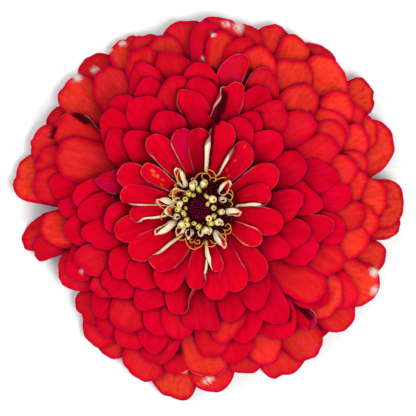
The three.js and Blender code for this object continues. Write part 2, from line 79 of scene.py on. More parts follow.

# The petals between the rim and the eye, in four uneven rows: azimuth, reach, half-width and warmth, whose
# orange is partly the petal's own colour and partly painted light shining through it
MIDDLE_PETALS = [
    (3, 51.5, 6.5, 1), (16, 48, 5, 0.85), (24, 50.5, 5.2, 0.9), (30, 52, 4.2, 0.6), (36, 51.2, 4.8, 0.9),
    (57, 49.8, 6.9, 0.9), (70, 48, 5.9, 0.75), (76, 49.5, 5, 0.15), (83, 49.8, 4.8, 0.75),
    (89, 52.8, 4.8, 0.1), (113, 48, 4.8, 0.3), (128, 48.5, 6.4, 0.5), (150, 47.5, 4.8, 0.2),
    (164, 49.3, 5.2, 0.4), (172, 48.6, 5.4, 0.25), (189, 46.8, 5.3, 0.9), (231, 46.3, 5.2, 0.1),
    (240, 46, 4.8, 0.1), (251, 46.8, 5.2, 0.1), (261, 47.8, 4.8, 0.1), (271, 47.8, 6.8, 0.9),
    (293, 48.4, 5.5, 0.8), (322, 48, 7, 1), (326, 50.7, 6, 0.2), (347, 47.5, 5.6, 0.9), (353, 49, 5.8, 0.8),

    (8, 46.6, 5.4, 0.9), (16, 44.5, 4.8, 0.7), (29, 45.4, 5.2, 0.7), (33, 47.2, 6.8, 0.8),
    (49, 45.4, 5.3, 0.85), (63, 42.6, 5.6, 0.45), (78, 44, 4.2, 0.2), (92, 40.8, 4.8, 0.05),
    (102, 44.8, 5.4, 0.15), (117, 44.8, 5.3, 0.1), (128, 39.4, 4.4, 0), (158, 44.2, 7, 0.95),
    (173, 44.5, 5, 0), (180, 41.1, 3.6, 0), (190, 39.7, 5.2, 0), (203, 42.7, 5.3, 0), (219, 39.4, 5.2, 0.25),
    (224, 43.1, 5.3, 0), (236, 41.6, 5.6, 0.3), (248, 43.7, 5.3, 0), (273, 42.4, 5.3, 0.25),
    (283, 45.2, 5, 0.05), (301, 43.7, 6, 0), (308, 45, 4, 0), (312, 45.5, 3, 0), (320, 43.9, 5.6, 0),
    (321, 41.5, 5.6, 0.55), (335, 42.2, 5.5, 0.35), (350, 40.2, 4.3, 0), (357, 45, 4.6, 0.6),

    (4, 41.3, 4.5, 0), (15, 39.1, 4.7, 0), (27, 41, 4.8, 0.3), (40, 39.4, 4.6, 0.25), (51, 36.8, 4.9, 0.15),
    (64, 37.4, 4.2, 0), (75, 36, 4.6, 0), (92, 36.2, 4.9, 0), (98, 33.4, 4.7, 0), (105, 37.4, 5, 0.2),
    (115, 39.5, 4.9, 0), (122, 36, 5.2, 0), (138, 38.2, 5, 0), (143, 34, 3.9, 0), (173, 36.4, 4.5, 0),
    (185, 35.3, 5, 0), (196, 34.8, 5, 0), (206, 39.1, 5.2, 0.2), (221, 35.9, 5.2, 0), (238, 34, 5.1, 0),
    (249, 38.2, 4.5, 0), (259, 37.5, 4.7, 0.1), (269, 34.4, 5, 0.05), (280, 39, 5.1, 0.65),
    (289, 39.7, 4.7, 0), (302, 39.4, 5.3, 0), (336, 34.1, 5, 0), (349, 36.5, 4.5, 0),

    (4, 33.1, 5.6, 0), (25, 31, 4.6, 0), (42, 29.2, 4.5, 0), (61, 30.4, 4.5, 0), (66, 27, 4.2, 0),
    (113, 29.2, 4.9, 0), (139, 29.8, 4.7, 0), (164, 31.1, 3.6, 0), (185, 28.1, 4.8, 0), (213, 31.8, 4.4, 0),
    (227, 29.5, 4.9, 0), (254, 30.8, 3.8, 0), (286, 32.7, 4.9, 0), (302, 32.2, 5, 0), (329, 27, 4.7, 0),
    (344, 30.6, 4.6, 0), (4, 27.6, 4.3, 0),
]
MIDDLE_ENDS = (50.8, 26.4)
OUTER_FROM = 42.0  # reach from which a middle petal belongs to the outer whorl

# A petal that is folded lengthways
FOLDED = dict(stiff=True, columns=31, curl=0.5, roll_from=0.3, roll_span=(0.3, 0.6, 1.2, 1.3))

# What sets single petals apart from their neighbours, by azimuth and reach. Rolls and spread are given for
# the clockwise and the anticlockwise margin.
LANDMARKS = {
    (75, 36): dict(FOLDED, azimuth=75.2, sway=-1.2, half_width=3.6, rolls=(0, 1.3), spread=(1, 1.5), hook=0.7,
                   pale=0.9, trough=1, rim=0.6, dark_from=0.35, columns=35, tip_power=1.8, tip_depth=1.7),
    (98, 33.4): dict(sway=2.9, half_width=4.4, rolls=(0, 1.5), pale=0.35, stiff=True, dark_from=0.4),
    (150, 47.5): dict(FOLDED, rolls=(1.25, 0), spread=(1.5, 1), roll_from=0.35, pale=0.35, magenta=0,
                      roll_span=(0.55, 0.75, 0.9, 1.05), warmth=0.3, dark_from=0.3, shade=-0.6, trough=1),
    (312, 45.5): dict(FOLDED, rolls=(0, 1.8), spread=(1, 1.5), pale=0.4, magenta=0.9, half_width=3.4,
                      trough=1, rim=0.8, tip_power=1.8, tip_depth=1.6),
    (308, 45): dict(rolls=(0, 0.8), curl=0.3, pale=0.4, stiff=True, tip_power=1.8, trough=1),
    (254, 30.8): dict(FOLDED, rolls=(0, 2.2), spread=(1, 1.7), roll_from=0.2, pale=0.25, dark_from=0.25,
                      roll_span=(0.3, 0.7, 1.2, 1.3)),
    (271, 47.8): dict(azimuth=272.5, sway=5.5, rolls=(2.2, 0), pale=0.8, stiff=True, dark_from=0.4,
                      roll_span=(0.1, 0.4, 0.82, 0.97)),
    (260, 55): dict(shade=-1.2, warmth=1.15),
    (63, 42.6): dict(rolls=(0, 1.3), roll_span=(0.6, 0.9, 1.2, 1.3), pale=0.3, stiff=True, columns=29,
                     dark_from=0.5, warmth=0.2, crease=0.6),
    (64, 37.4): dict(crease=0.7, tip_power=1.8, shade=-1),
    (206, 39.1): dict(pale=0.15, tip_bend=1),
    (164, 31.1): dict(rolls=(0, 1), tip_power=1.5, tip_depth=1.7, pale=0.25, magenta=1, shade=-1.5),
    (349, 36.5): dict(rolls=(0, 1.2), roll_from=0.6, pale=0.35),
    (78, 44): dict(azimuth=76.4, sway=-3.6, half_width=3.7, pale=0.5, magenta=0.6, tip_power=1.9,
                   tip_depth=1.6, stiff=True),
    (269, 34.4): dict(tip_power=4, tip_depth=0.6),
    (302, 32.2): dict(crease=0.9),
    (302, 39.4): dict(azimuth=303, half_width=4.5),
    (320, 43.9): dict(azimuth=322, half_width=5.2),
    (321, 41.5): dict(azimuth=323.5, half_width=5, crease=0.5, tip_depth=0.8, warmth=0.3, depth=0.3),
    (322, 48): dict(warmth=1.3),
    (158, 44.2): dict(azimuth=160, sway=1.6, half_width=6.4, tip_depth=1, tip_power=2, wave=0.15, crease=0,
                      tip_bend=0.4, warmth=0.5, depth=0.1),
    (171, 54.7): dict(azimuth=169.6, half_width=7.8, sway=0.5),
    (190, 52.6): dict(azimuth=189.2, half_width=5.3, sway=2.5, tip_skew=-0.5, tip_depth=1.4),
    (189, 46.8): dict(azimuth=187.8),
    # Painted shade: these rim petals are a darker orange-brown, as if in shadow
    (1, 56.1): dict(warmth=1.6, shade=-2.2),
    (356, 56.3): dict(warmth=1.6, shade=-2.2),
    (35, 58): dict(warmth=1.6, shade=-1.8),
    (89, 52.8): dict(magenta=0.5),
    # Painted shade: this eye petal is darker, and more so towards its base
    (95, 21.8): dict(spread=(1.75, 1), roll_from=0.3, shade=-2.2, depth=0.6),
    (108, 22.6): dict(magenta=1, shade=-0.8),
    (53, 21.4): dict(azimuth=54, sway=-0.3, half_width=3.9, fleck=0.6),
    (147, 20.4): dict(fleck=0.7),
    (226, 21.8): dict(azimuth=232, sway=-2, half_width=3.4, spread=(1.7, 1), roll_from=0.3, pale=0.8),
    (243, 25.7): dict(pale=0),
    (264, 22.9): dict(pale=0.3),
    (279, 26): dict(pale=0),
    (281, 18.3): dict(azimuth=284, half_width=1.55, spread=(2.7, 1), roll_from=0.3, pale=1),
    (328, 18.6): dict(pale=0.8),
    (13, 18.9): dict(fleck=0.2),
    (75, 24.3): dict(trough=1),
    (158, 52.6): dict(trough=1),
}

# Small pale, near-white spots on the outer petals: azimuth, radius and size
WHITE_SPOTS = [
    (134.5, 51.2, 1.3), (128.5, 49.8, 1), (116.5, 51.8, 0.9), (121, 51.8, 0.7), (339, 51.5, 1.3),
    (334, 53.7, 1.2), (79, 51.6, 1.5), (83, 52, 0.9), (273, 48.2, 0.6), (271.6, 48.8, 0.8),
    (270.2, 49.5, 0.7), (269, 50.2, 0.4), (263.4, 46.8, 0.45), (87, 48.4, 0.6), (90.5, 41.7, 0.5),
    (208, 38.7, 0.5),
]

# Painted shadow in the deep gaps that show between the petals: azimuth, radius where one begins and where it
# ends, and half-width
DARK_GAPS = [
    (85.5, 20.5, 26, 0.7), (86.5, 32, 38.5, 0.9), (71, 36, 40.5, 0.7), (59.5, 30.5, 33.5, 0.6),
    (41.5, 39.5, 43, 0.5), (101.5, 22, 29, 0.6), (173, 23, 26.5, 0.8), (218, 24.5, 29.5, 0.7),
    (257, 38.5, 43, 0.6), (312.5, 27, 34, 0.5), (310, 34, 38, 0.5), (308, 38, 43, 0.8),
]

# The same painted shadow in the hollows of folded petals and at their tips, which shows only on petals with a
# trough
TROUGHS = [
    (79.8, 27.5, 31.7, 1.2), (81, 23.6, 28, 0.8), (314, 38, 43, 0.8), (144.3, 40.6, 44.8, 0.9),
    (83.3, 12, 23, 0.5), (152.2, 47.3, 47.5, 0.8), (153.8, 47.2, 47.4, 0.8), (155.3, 47, 47.2, 0.6),
]

# The petals round the eye: azimuth, reach, half-width, and how far the clockwise and the anticlockwise
# margin roll up, in radians
EYE_PETALS = [
    (13, 18.9, 3.3, 2.4, 0), (27, 22.9, 4.1, 0, 0), (53, 21.4, 3.1, 0, 2), (75, 24.3, 3.8, 0, 0),
    (95, 21.8, 3.1, 2.6, 0), (108, 22.6, 3.3, 0, 0.5), (128, 24.6, 3.6, 0, 0.6), (147, 20.4, 2.5, 0.6, 0.6),
    (157, 25.7, 3.8, 0, 0), (171, 23.4, 3.1, 0, 1.6), (186, 20.6, 2.5, 0.4, 2.4), (197, 25.7, 4, 0, 0),
    (213, 24.4, 3.7, 0, 0.5), (226, 21.8, 2.9, 2.2, 0.4), (243, 25.7, 4.4, 0, 0), (264, 22.9, 3.2, 0, 1.8),
    (281, 18.3, 2.1, 2.6, 0.5), (279, 26, 3.8, 0, 0), (293, 25.2, 4, 0, 0.6), (310, 25.7, 4.2, 0, 0),
    (328, 18.6, 2.7, 0.5, 0.5), (347, 22.4, 3.9, 0, 0),
]
EYE_ENDS = (18.0, 26.0)
EYE_TIP_HEIGHTS = (38.4, 36.0)

# The young petals still rolled into quills: azimuth, radius of the tip, half-width, how wide the mouth
# opens, from 0 for closed to 3 for splayed, how far it turns to the clockwise side, in radians, and how
# orange it is inside
QUILLS = [
    (21, 8, 2, 0.1, 0.3, 0.3), (42, 11.3, 2.9, 0.9, 0.5, 0), (80, 8.1, 2.1, 0.3, 0.2, 0.5),
    (101, 7.9, 2, 0.2, -0.3, 0.2), (120, 12.9, 3, 0.6, -0.5, 0), (144, 9, 2.6, 3, -0.3, 1),
    (164, 7.9, 1.9, 0.3, 0.4, 0.8), (167, 12.2, 2.7, 0.5, -0.6, 0), (185, 9.8, 2.6, 2.6, -0.3, 0.8),
    (200, 8, 1.9, 0.2, -0.4, 0.4), (213, 14.4, 2.6, 0.6, 0.6, 0), (232, 10, 2.6, 0.5, 0.5, 0.1),
    (251, 9.3, 2.4, 0.4, 0.4, 0.1), (274, 8, 2.1, 0.4, 0.2, 0.7), (289, 7.9, 1.9, 0.1, -0.3, 0.3),
    (300, 13.2, 2.4, 0.7, -0.5, 0), (325, 8.1, 2.1, 0.2, 0.3, 0.2), (357, 11.7, 2.5, 0.6, 0.7, 0.1),
]
QUILL_ROOTS = (7.0, 7.65)
QUILL_CURL = 6.26  # the full turn that a quill makes across its blade, in radians

# The buds of the next petals: azimuth, radius, size of the mouth, height, and how far in the mouth leans
BUDS = [
    (3, 4.6, 0.75, 4.9, 1.2), (31, 4.5, 0.5, 5.2, 2.6), (38, 5, 1, 5.7, 1.2), (68, 4.7, 0.55, 4.7, 1.1),
    (82, 5.8, 0.8, 5.6, -0.8), (89, 4.9, 0.65, 5, 0.4), (111, 5.5, 0.85, 5.5, -0.4),
    (117, 4.6, 0.55, 4.8, 1), (131, 4.9, 0.75, 5.1, 0.3), (150, 4.9, 0.75, 5, 0.6), (164, 5.5, 0.8, 5.5, 0),
    (180, 5.5, 0.75, 5.2, -0.1), (184, 4.4, 0.4, 4.6, 1.1), (207, 4.9, 0.65, 5, 0.3),
    (221, 4.6, 0.65, 5, 0.2), (222, 5.9, 0.85, 5.5, -0.5), (237, 5.3, 0.75, 5.2, -0.1),
    (252, 4.9, 0.6, 4.9, 0.6), (269, 5, 0.7, 5.1, 0.2), (286, 5.6, 0.85, 5.5, -0.6), (300, 5, 0.7, 5, 0.1),
    (313, 4.6, 0.85, 5.6, 1.2), (319, 5.7, 0.85, 5.4, -0.5), (334, 4.8, 0.7, 5, 0.4),
    (350, 5.5, 0.8, 5.3, -0.3),
]

# Azimuths at which the gold styles stand
STYLES = (14, 28, 60, 70, 99, 131, 154, 183, 245, 262, 277, 308, 318)

# Rows of bracts: count, height of the root and of the tip, half-width, how far the tip stands off, azimuth
BRACT_ROWS = [
    (7, 1.6, 6.4, 3.6, 1.9, 0),
    (9, 4.2, 10.0, 3.7, 1.7, 20),
    (11, 8.0, 13.6, 3.5, 0.9, 5),
]

# How much wider the petals are than in the tables, so that they overlap
RIM_WIDENING, MIDDLE_WIDENING, QUILL_WIDENING = 1.1, 1.06, 1.12

# Thickness of a petal, a quill, a bract and a scale
PETAL_SHEET, QUILL_SHEET, BRACT_SHEET, SCALE_SHEET = 0.36, 0.3, 0.5, 0.14

# Colours, linear: the petals
CRIMSON = (0.66, 0.0, 0.015)
ORANGE = (0.93, 0.052, 0.016)
DEEP_RED = (0.20, 0.0, 0.008)
SHADOW_RED = (0.05, 0.0, 0.005)
MARGIN_RED = (0.32, 0.002, 0.085)
MAGENTA = (0.56, 0.0, 0.060)
CREAM = (0.84, 0.76, 0.50)
DULL_CREAM = (0.62, 0.46, 0.20)
PINK_CREAM = (0.84, 0.46, 0.36)
PALE_PINK = (0.78, 0.30, 0.28)
LINING_RED = (0.46, 0.004, 0.040)
SPOT_WHITE = (0.82, 0.72, 0.68)
FLECK_ORANGE = (0.92, 0.14, 0.02)
# The quills, buds and styles
THROAT_RED = (0.45, 0.01, 0.01)
QUILL_RED = (0.66, 0.004, 0.03)
QUILL_ORANGE = (0.95, 0.26, 0.02)
QUILL_STRAW = (0.70, 0.58, 0.26)
QUILL_FOOT = (0.36, 0.08, 0.04)
BUD_FOOT = (0.20, 0.04, 0.02)
BUD_GREEN = (0.60, 0.58, 0.09)
BUD_CREAM = (0.84, 0.72, 0.32)
BUD_POLLEN = (0.85, 0.82, 0.45)
MOUTH_OLIVE = (0.34, 0.22, 0.02)
MOUTH_ORANGE = (0.72, 0.16, 0.02)
DARK_GOLD = (0.55, 0.20, 0.01)
GOLD = (0.60, 0.23, 0.010)
BRIGHT_GOLD = (0.92, 0.50, 0.04)
# The scales
MAROON = (0.115, 0.001, 0.018)
LIGHT_MAROON = (0.24, 0.002, 0.03)
EYE_TIP = (0.60, 0.004, 0.13)
FLORET_TIP = (0.42, 0.030, 0.025)
# The bracts, the receptacle's foot and the floor
BRACT_GREEN = (0.065, 0.15, 0.022)
BRACT_VEIN = (0.17, 0.30, 0.07)
BRACT_OLIVE = (0.22, 0.30, 0.09)
BRACT_BROWN = (0.035, 0.018, 0.010)
FOOT_GREEN = (0.09, 0.14, 0.03)
FOOT_OLIVE = (0.16, 0.20, 0.06)
FLOOR_WHITE = (0.90, 0.90, 0.90)
FLOOR_GREY = (0.8865, 0.8865, 0.8865)

X_AXIS, Y_AXIS, UP = np.eye(3)


def lerp(start, end, share):
    return start + (end - start) * share


def smoothstep(value, low=0.0, high=1.0):
    share = np.clip((value - low) / (high - low), 0.0, 1.0)
    return share * share * (3 - 2 * share)


def jitter(index, use):
    """A repeatable random number from -1 to 1 for a whole number and a use, as in the solids. Whatever is
    drawn has a use of its own, so that its draws don't follow another's."""
    wave = math.sin(index * 12.9898 + use * 78.233) * 43758.5453
    return 2 * (wave - math.floor(wave)) - 1


def fullness(azimuth):
    """How far the bloom reaches at an azimuth, as a share of its mean radius."""
    place = (azimuth % 360) / 30
    step = int(place) % 12
    blend = smoothstep(place - int(place))
    return lerp(REACH_EVERY_30[step], REACH_EVERY_30[(step + 1) % 12], blend) / BLOOM_RADIUS


def dome_height(radius):
    share = min(1.0, radius / (BLOOM_RADIUS + 1.5))
    return RIM_LEVEL + DOME_RISE * (1 - share ** 2.3) ** 0.85


def polar(azimuth, radius=1.0, height=0.0):
    """A point from an azimuth in degrees, a radius and a height."""
    angle = math.radians(azimuth)
    return np.array((radius * math.cos(angle), radius * math.sin(angle), height))


def new_petal(number, azimuth, reach, **facts):
    """A petal's record: what it shares with its solid, what only shows, and what sets it apart.

    A place along it runs from 0 at the root to 1 at the tip, and a place across from -1 to 1. Each petal also
    gets its root, tip height, slope at the tip in degrees, start, curl across and twist, in radians.
    """
    petal = SimpleNamespace(
        number=number, azimuth=azimuth, reach=reach,
        # Its grid, and whether it keeps its form across when it is lifted, by most_lift at most
        rows=34, columns=21, stiff=False, most_lift=9.0,
        # Where its line bends, how far its root is turned and the root's shift to the side
        elbow=0.55, tilt=0.0, sway=0.0,
        # Width of the claw as a share of the limb's, where the limb begins, and a quill's width at the mouth
        claw=0.34, limb_from=0.62, mouth_width=1.0,
        # How far each margin rolls up, how much wider it is for that, from which place across, from where to
        # where along, and how much more it rolls at the tip
        rolls=(0, 0), spread=(1, 1), roll_from=0.5, roll_span=(0.0, 0.1, 1.2, 1.3), hook=0.0,
        # How much a quill's curl opens towards the mouth, and from where
        opening=0.0, opens_at=0.5,
        # The tip's length as a share of the half-width, its roundness and skew, its teeth and its notch
        tip_depth=0.95, tip_power=2.2, tip_skew=0.0, ragged=0.0, notch=0.0, notch_at=0.0,
        # Waves of the margins, the crease down the middle, the bend of the tip, and the margin's thickness
        wave=0.35, crease=0.0, tip_bend=0.0, rim=0.4,
        # Colour: how orange, magenta, cream below, pale at the edge, flecked and light it is; its lightness
        # is partly random and partly painted light and shade
        warmth=0.0, magenta=0.0, cream=0.0, pale=0.0, fleck=0.0, shade=0.0,
        # Painted shade: towards the claw (there partly its own deeper red), under other petals, in a steep
        # fold from some lean on, and in a trough
        depth=0.6, crowd=0.5, dark_from=0.9, trough=0.0,
    )
    petal.__dict__.update(facts)
    petal.__dict__.update(LANDMARKS.get((azimuth, reach), {}))
    return petal


def rim_petals():
    made = []
    for i, (azimuth, reach, half_width, tip_height, warmth) in enumerate(RIM_PETALS):
        made.append(new_petal(
            i, azimuth, reach, half_width=half_width * RIM_WIDENING, root=(10, 16), start=0.14,
            tip_height=tip_height + SPINE_ABOVE_TIP, tip_slope=36, curl=-0.8 + 0.35 * jitter(i, 32),
            twist=0.16 + 0.10 * jitter(i, 1), sway=3.0 * jitter(i, 21), tip_depth=1.05 + 0.25 * jitter(i, 22),
            tip_power=2.3 + 0.5 * jitter(i, 28), tip_skew=0.35 * jitter(i, 33), ragged=0.45,
            notch=max(0.0, 0.9 * jitter(i, 23)), notch_at=0.5 * jitter(i, 24), wave=0.8,
            crease=0.5 * max(0.0, jitter(i, 25)), tip_bend=0.6 * jitter(i, 29), warmth=warmth,
            shade=jitter(i, 26), magenta=0.25, depth=0.3, crowd=0.4,
        ))
    return sorted(made, key=lambda petal: petal.tip_height)


def middle_petals():
    made = []
    first, last = MIDDLE_ENDS
    for k, (azimuth, reach, half_width, warmth) in enumerate(MIDDLE_PETALS):
        plain = reach / (1 + (fullness(azimuth) - 1) * (reach / BLOOM_RADIUS) ** 2)
        age = min(1.0, max(0.0, (first ** 2 - plain ** 2) / (first ** 2 - last ** 2)))
        # Painted light: the outer petals towards +X are painted lighter, as if lit from that side
        sunlit = smoothstep(reach, 46, 49) * max(0.0, polar(azimuth)[0])
        made.append(new_petal(
            100 + k, azimuth, reach, half_width=half_width * MIDDLE_WIDENING, start=lerp(0.2, 0.05, age),
            root=(lerp(10, 9.5, age), lerp(16.4, 28, age)), tip_slope=lerp(33, 10, age),
            tip_height=dome_height(plain) + 0.3 * jitter(k, 7),
            twist=0.05 + 0.05 * jitter(k, 6) + 0.12 * jitter(k, 27),
            curl=lerp(-0.75, -0.35, age) + 0.15 * jitter(k, 5) + 0.3 * jitter(k, 32),
            sway=3.0 * jitter(k, 21), tip_depth=1.35 + 0.35 * jitter(k, 22), ragged=0.35,
            tip_power=1.95 + 0.35 * jitter(k, 28), tip_skew=0.4 * jitter(k, 33),
            notch=max(0.0, 0.8 * jitter(k, 23)), notch_at=0.5 * jitter(k, 24), wave=lerp(0.7, 0.4, age),
            crease=0.6 * max(0.0, jitter(k, 25)), tip_bend=0.7 * jitter(k, 29),
            warmth=lerp(0.66, 0.8, smoothstep(reach, 42, 48)) * warmth, shade=jitter(k, 26) + 1.2 * sunlit,
            magenta=0.15 + 0.2 * max(0.0, jitter(k, 31)), depth=lerp(0.35, 0.9, age),
            crowd=lerp(0.45, 0.85, age),
        ))
    return sorted(made, key=lambda petal: -petal.reach)


def eye_petals():
    made = []
    for i, (azimuth, reach, half_width, clockwise, anticlockwise) in enumerate(EYE_PETALS):
        outward = (reach - EYE_ENDS[0]) / (EYE_ENDS[1] - EYE_ENDS[0])
        spread = tuple(1.0 + 0.16 * max(0.0, roll - 0.6) for roll in (clockwise, anticlockwise))
        tip_height = lerp(*EYE_TIP_HEIGHTS, outward) - 0.25 * max(clockwise, anticlockwise)
        pale = lerp(0.95, 0.45, outward) * (0.65 - 0.35 * math.cos(math.radians(azimuth)))
        made.append(new_petal(
            300 + i, azimuth, reach, half_width=half_width, root=(8.4, 31.0), start=0.0, claw=0.55,
            limb_from=0.75, tip_height=tip_height, tip_slope=lerp(3, 9, outward), curl=0.3, elbow=0.35,
            rolls=(1.3 * clockwise, 1.3 * anticlockwise), spread=spread, roll_from=0.35, columns=31,
            roll_span=(0.05, 0.35, 0.85, 1.15), twist=0.16 + 0.04 * jitter(i, 8), stiff=True, most_lift=0.8,
            tip_depth=1.25 + 0.15 * jitter(i, 22), sway=0.8 * jitter(i, 21), wave=0.12, ragged=0.12,
            crease=0.2 * max(0.0, jitter(i, 25)), tip_power=2.1, tip_skew=0.2 * jitter(i, 33), depth=0.25,
            cream=lerp(1.0, 0.45, outward), pale=pale, shade=0.5 * jitter(i, 26), crowd=0.7,
        ))
    return sorted(made, key=lambda petal: -petal.reach)


def running_sum(steps):
    return np.concatenate(([0.0], np.cumsum(steps)))


def spine(petal, count=80):
    """Points along a petal's middle line as radius and height, and the length up to each."""
    root = np.array(petal.root, float)
    tip = np.array((petal.reach, petal.tip_height))
    elbow_radius = lerp(root[0], tip[0], petal.elbow)
    lift = math.tan(math.radians(petal.tip_slope)) * (tip[0] - elbow_radius)
    elbow = np.array((elbow_radius, tip[1] + lift))
    t = np.linspace(0, 1, count)[:, None]
    line = (1 - t) ** 2 * root + 2 * t * (1 - t) * elbow + t ** 2 * tip
    return line, running_sum(np.linalg.norm(np.diff(line, axis=0), axis=1))


def cross_section(share, petal, curl, roll_share):
    """Sideways place, rise and lean across a blade of half-width 1, for each share from -1 to 1."""
    fine = np.linspace(0, 1, 97)
    sides = []
    for roll, spread in zip(petal.rolls, petal.spread):
        rolled = np.clip((fine - petal.roll_from) / (1 - petal.roll_from), 0, None) ** 1.2
        lean = curl / 2 * fine + roll * roll_share * rolled
        middle = (lean[1:] + lean[:-1]) / 2
        step = fine[1] * lerp(1.0, spread, min(roll_share, 1.0))
        profile = (running_sum(np.cos(middle) * step), running_sum(np.sin(middle) * step), lean)
        sides.append([np.interp(np.abs(share), fine, values) for values in profile])
    clockwise, anticlockwise = np.array(sides)
    return np.where(share < 0, clockwise * [[-1], [1], [-1]], anticlockwise)


def petal_sheet(petal):
    """The middle surface of a petal as a grid of points, root to tip and clockwise to anticlockwise margin.

    Returns the points and what the material needs to know of each: where it lies and how near a margin.
    """
    line, lengths = spine(petal)
    full = lengths[-1]
    share = np.sin(np.linspace(-1, 1, petal.columns) * math.pi / 2)
    skewed = np.clip(share + petal.tip_skew * (1 - share ** 2), -1, 1)
    roundness = (1 - np.abs(skewed) ** petal.tip_power) ** (1 / petal.tip_power)
    end = full - petal.half_width * petal.tip_depth * (1 - roundness)
    end = end - petal.notch * np.exp(-((share - petal.notch_at) / 0.16) ** 2)
    ripple = np.sin(5 * share + 4 * jitter(petal.number, 42))
    ripple = ripple + 0.7 * np.sin(9 * share + 4 * jitter(petal.number, 43))
    end = end + petal.ragged * (1 - share ** 2) * (0.4 - 0.6 * ripple)
    rows = 1 - (1 - np.linspace(0, 1, petal.rows)) ** 1.35
    start = full * petal.start
    place = start + (end[None, :] - start) * rows[:, None]
    along = place / full

    out = polar(petal.azimuth)
    side = np.array((-out[1], out[0], 0.0))
    radius = np.interp(place, lengths, line[:, 0])
    height = np.interp(place, lengths, line[:, 1])
    tangent = unit(np.gradient(line, lengths, axis=0))
    run = np.interp(place, lengths, tangent[:, 0])[..., None]
    climb = np.interp(place, lengths, tangent[:, 1])[..., None]
    forward = out * run + UP * climb
    angle = (petal.tilt + petal.twist * along)[..., None]
    across = side * np.cos(angle) + np.cross(forward, side) * np.sin(angle)
    normal = np.cross(forward, across)

    begin, reached, held, gone = petal.roll_span
    curl = petal.curl + petal.opening * smoothstep(rows, petal.opens_at, 0.92)
    roll_share = smoothstep(rows, begin, reached) * (1 - smoothstep(rows, held, gone))
    roll_share = roll_share * (1 + petal.hook * smoothstep(rows, 0.8, 1.0))
    sections = [cross_section(share, petal, *bend) for bend in zip(curl, roll_share)]
    sideways, rise, lean = np.stack(sections, axis=1)
    claw = lerp(petal.claw, 1.0, smoothstep(along, 0.0, petal.limb_from))
    half = petal.half_width * (claw * lerp(1.0, petal.mouth_width, smoothstep(along, 0.6, 1.0)))
    sideways = sideways * half + petal.sway * (along ** 2 - 1)
    points = out * radius[..., None] + UP * height[..., None] + across * sideways[..., None]
    points = points + normal * (rise * half)[..., None]
    thick = normal * np.cos(lean)[..., None] - across * np.sin(lean)[..., None]
    points = points + thick * relief(petal, along, share[None, :])[..., None]
    edge = np.minimum(half * (1 - np.abs(share)), end[None, :] - place)
    return SimpleNamespace(points=points, along=along, share=np.broadcast_to(share, along.shape), edge=edge,
                           half=half, place=place, lean=np.abs(lean))


def relief(petal, along, share):
    """How far a petal's surface stands off its plain form: ribs, waved margins, a crease and a bent tip."""
    phase = 3.1 * jitter(petal.number, 41)
    limb = smoothstep(along, 0.35, 0.75)
    ribs = 0.10 * np.cos(3 * math.pi * share + phase) * (1 - share ** 2) * limb
    waves = np.sin(along * 19 + phase) + 0.6 * np.sin(along * 31 + 2 * phase)
    waves = petal.wave * 0.6 * np.sign(share) * np.abs(share) ** 2.5 * waves * limb
    swell = 0.3 * np.sin(along * 9 + 2.7 * share + phase) * limb
    crease = -petal.crease * np.exp(-(share / 0.13) ** 2) * limb
    tip = petal.tip_bend * smoothstep(along, 0.72, 1.0) ** 2
    return ribs + waves + swell + crease + tip


class Pile:
    """Height of what lies highest so far, on a square grid over the bloom."""

    CELL = 0.5
    REACH = 66.0  # from the middle to each side of the grid
    CLEARANCE = 0.6  # from the middle surface of a petal to that of the one below
    OVER_FLOOR = 0.05

    def __init__(self):
        count = int(2 * self.REACH / self.CELL)
        self.height = np.full((count, count), self.OVER_FLOOR - self.CLEARANCE)

    def at(self, points):
        cell = ((points + self.REACH) / self.CELL).astype(int)
        return cell[..., 0], cell[..., 1]

    def lay(self, petal, sheet):
        """Lifts a petal smoothly off what lies under it, then adds it to the pile. A stiff one keeps its
        form across and is lifted as much as its middle needs."""
        free = smoothstep(sheet.along, 0.15, 0.4)
        below = widened(self.height, 1)[self.at(sheet.points)]
        need = below + self.CLEARANCE - sheet.points[..., 2]
        need = np.clip(need, 0, petal.most_lift) * free
        if petal.stiff:
            inner = np.abs(sheet.share[0]) < 0.6
            need = np.broadcast_to(need[:, inner].max(axis=1, keepdims=True), need.shape)
        sheet.points[..., 2] += softened(widened(need, 2), 5)
        dense = refined(sheet.points, 4)
        np.maximum.at(self.height, self.at(dense), dense[..., 2])

    def cover(self, points):
        """How deep each point of a petal lies among the petals round it: 0 in the open, 1 under them. The
        petal's own slope is taken off, so that it doesn't count as its neighbour."""
        normal = unit(np.cross(np.gradient(points, axis=0), np.gradient(points, axis=1)))
        level = np.maximum(np.abs(normal[..., 2]), 0.35) * np.sign(normal[..., 2] + 1e-6)
        slope = -normal[..., :2] / level[..., None]
        total = np.zeros(points.shape[:-1])
        steps = [polar(45 * turn + 20 * far, far) for far in (0.5, 1.0, 1.7) for turn in range(8)]
        for step in steps:
            own = points[..., 2] + slope @ step[:2]
            total += np.clip((self.height[self.at(points + step)] - own - 0.45) / 1.4, 0, 1)
        return total / len(steps)


def widened(grid, reach):
    """Each value becomes the highest within some cells of it."""
    padded = np.pad(grid, reach, mode="edge")
    rows, columns = grid.shape
    shifts = range(2 * reach + 1)
    return np.max([padded[i:i + rows, j:j + columns] for i in shifts for j in shifts], axis=0)


def softened(grid, passes):
    """Evens a grid out by averaging each value with its neighbours, by turns down and across."""
    for _ in range(2 * passes):
        padded = np.concatenate((grid[:1], grid, grid[-1:]))
        grid = ((padded[:-2] + 2 * grid + padded[2:]) / 4).T
    return grid


def refined(points, times):
    """A grid of points with others filled in between, evenly."""
    for axis in (0, 1):
        count = points.shape[axis]
        places = np.linspace(0, count - 1, (count - 1) * times + 1)
        low = np.minimum(places.astype(int), count - 2)
        share = (places - low).reshape((-1, 1, 1) if axis == 0 else (1, -1, 1))
        points = np.take(points, low, axis) * (1 - share) + np.take(points, low + 1, axis) * share
    return points


def unit(vectors):
    return vectors / np.maximum(np.linalg.norm(vectors, axis=-1, keepdims=True), 1e-9)


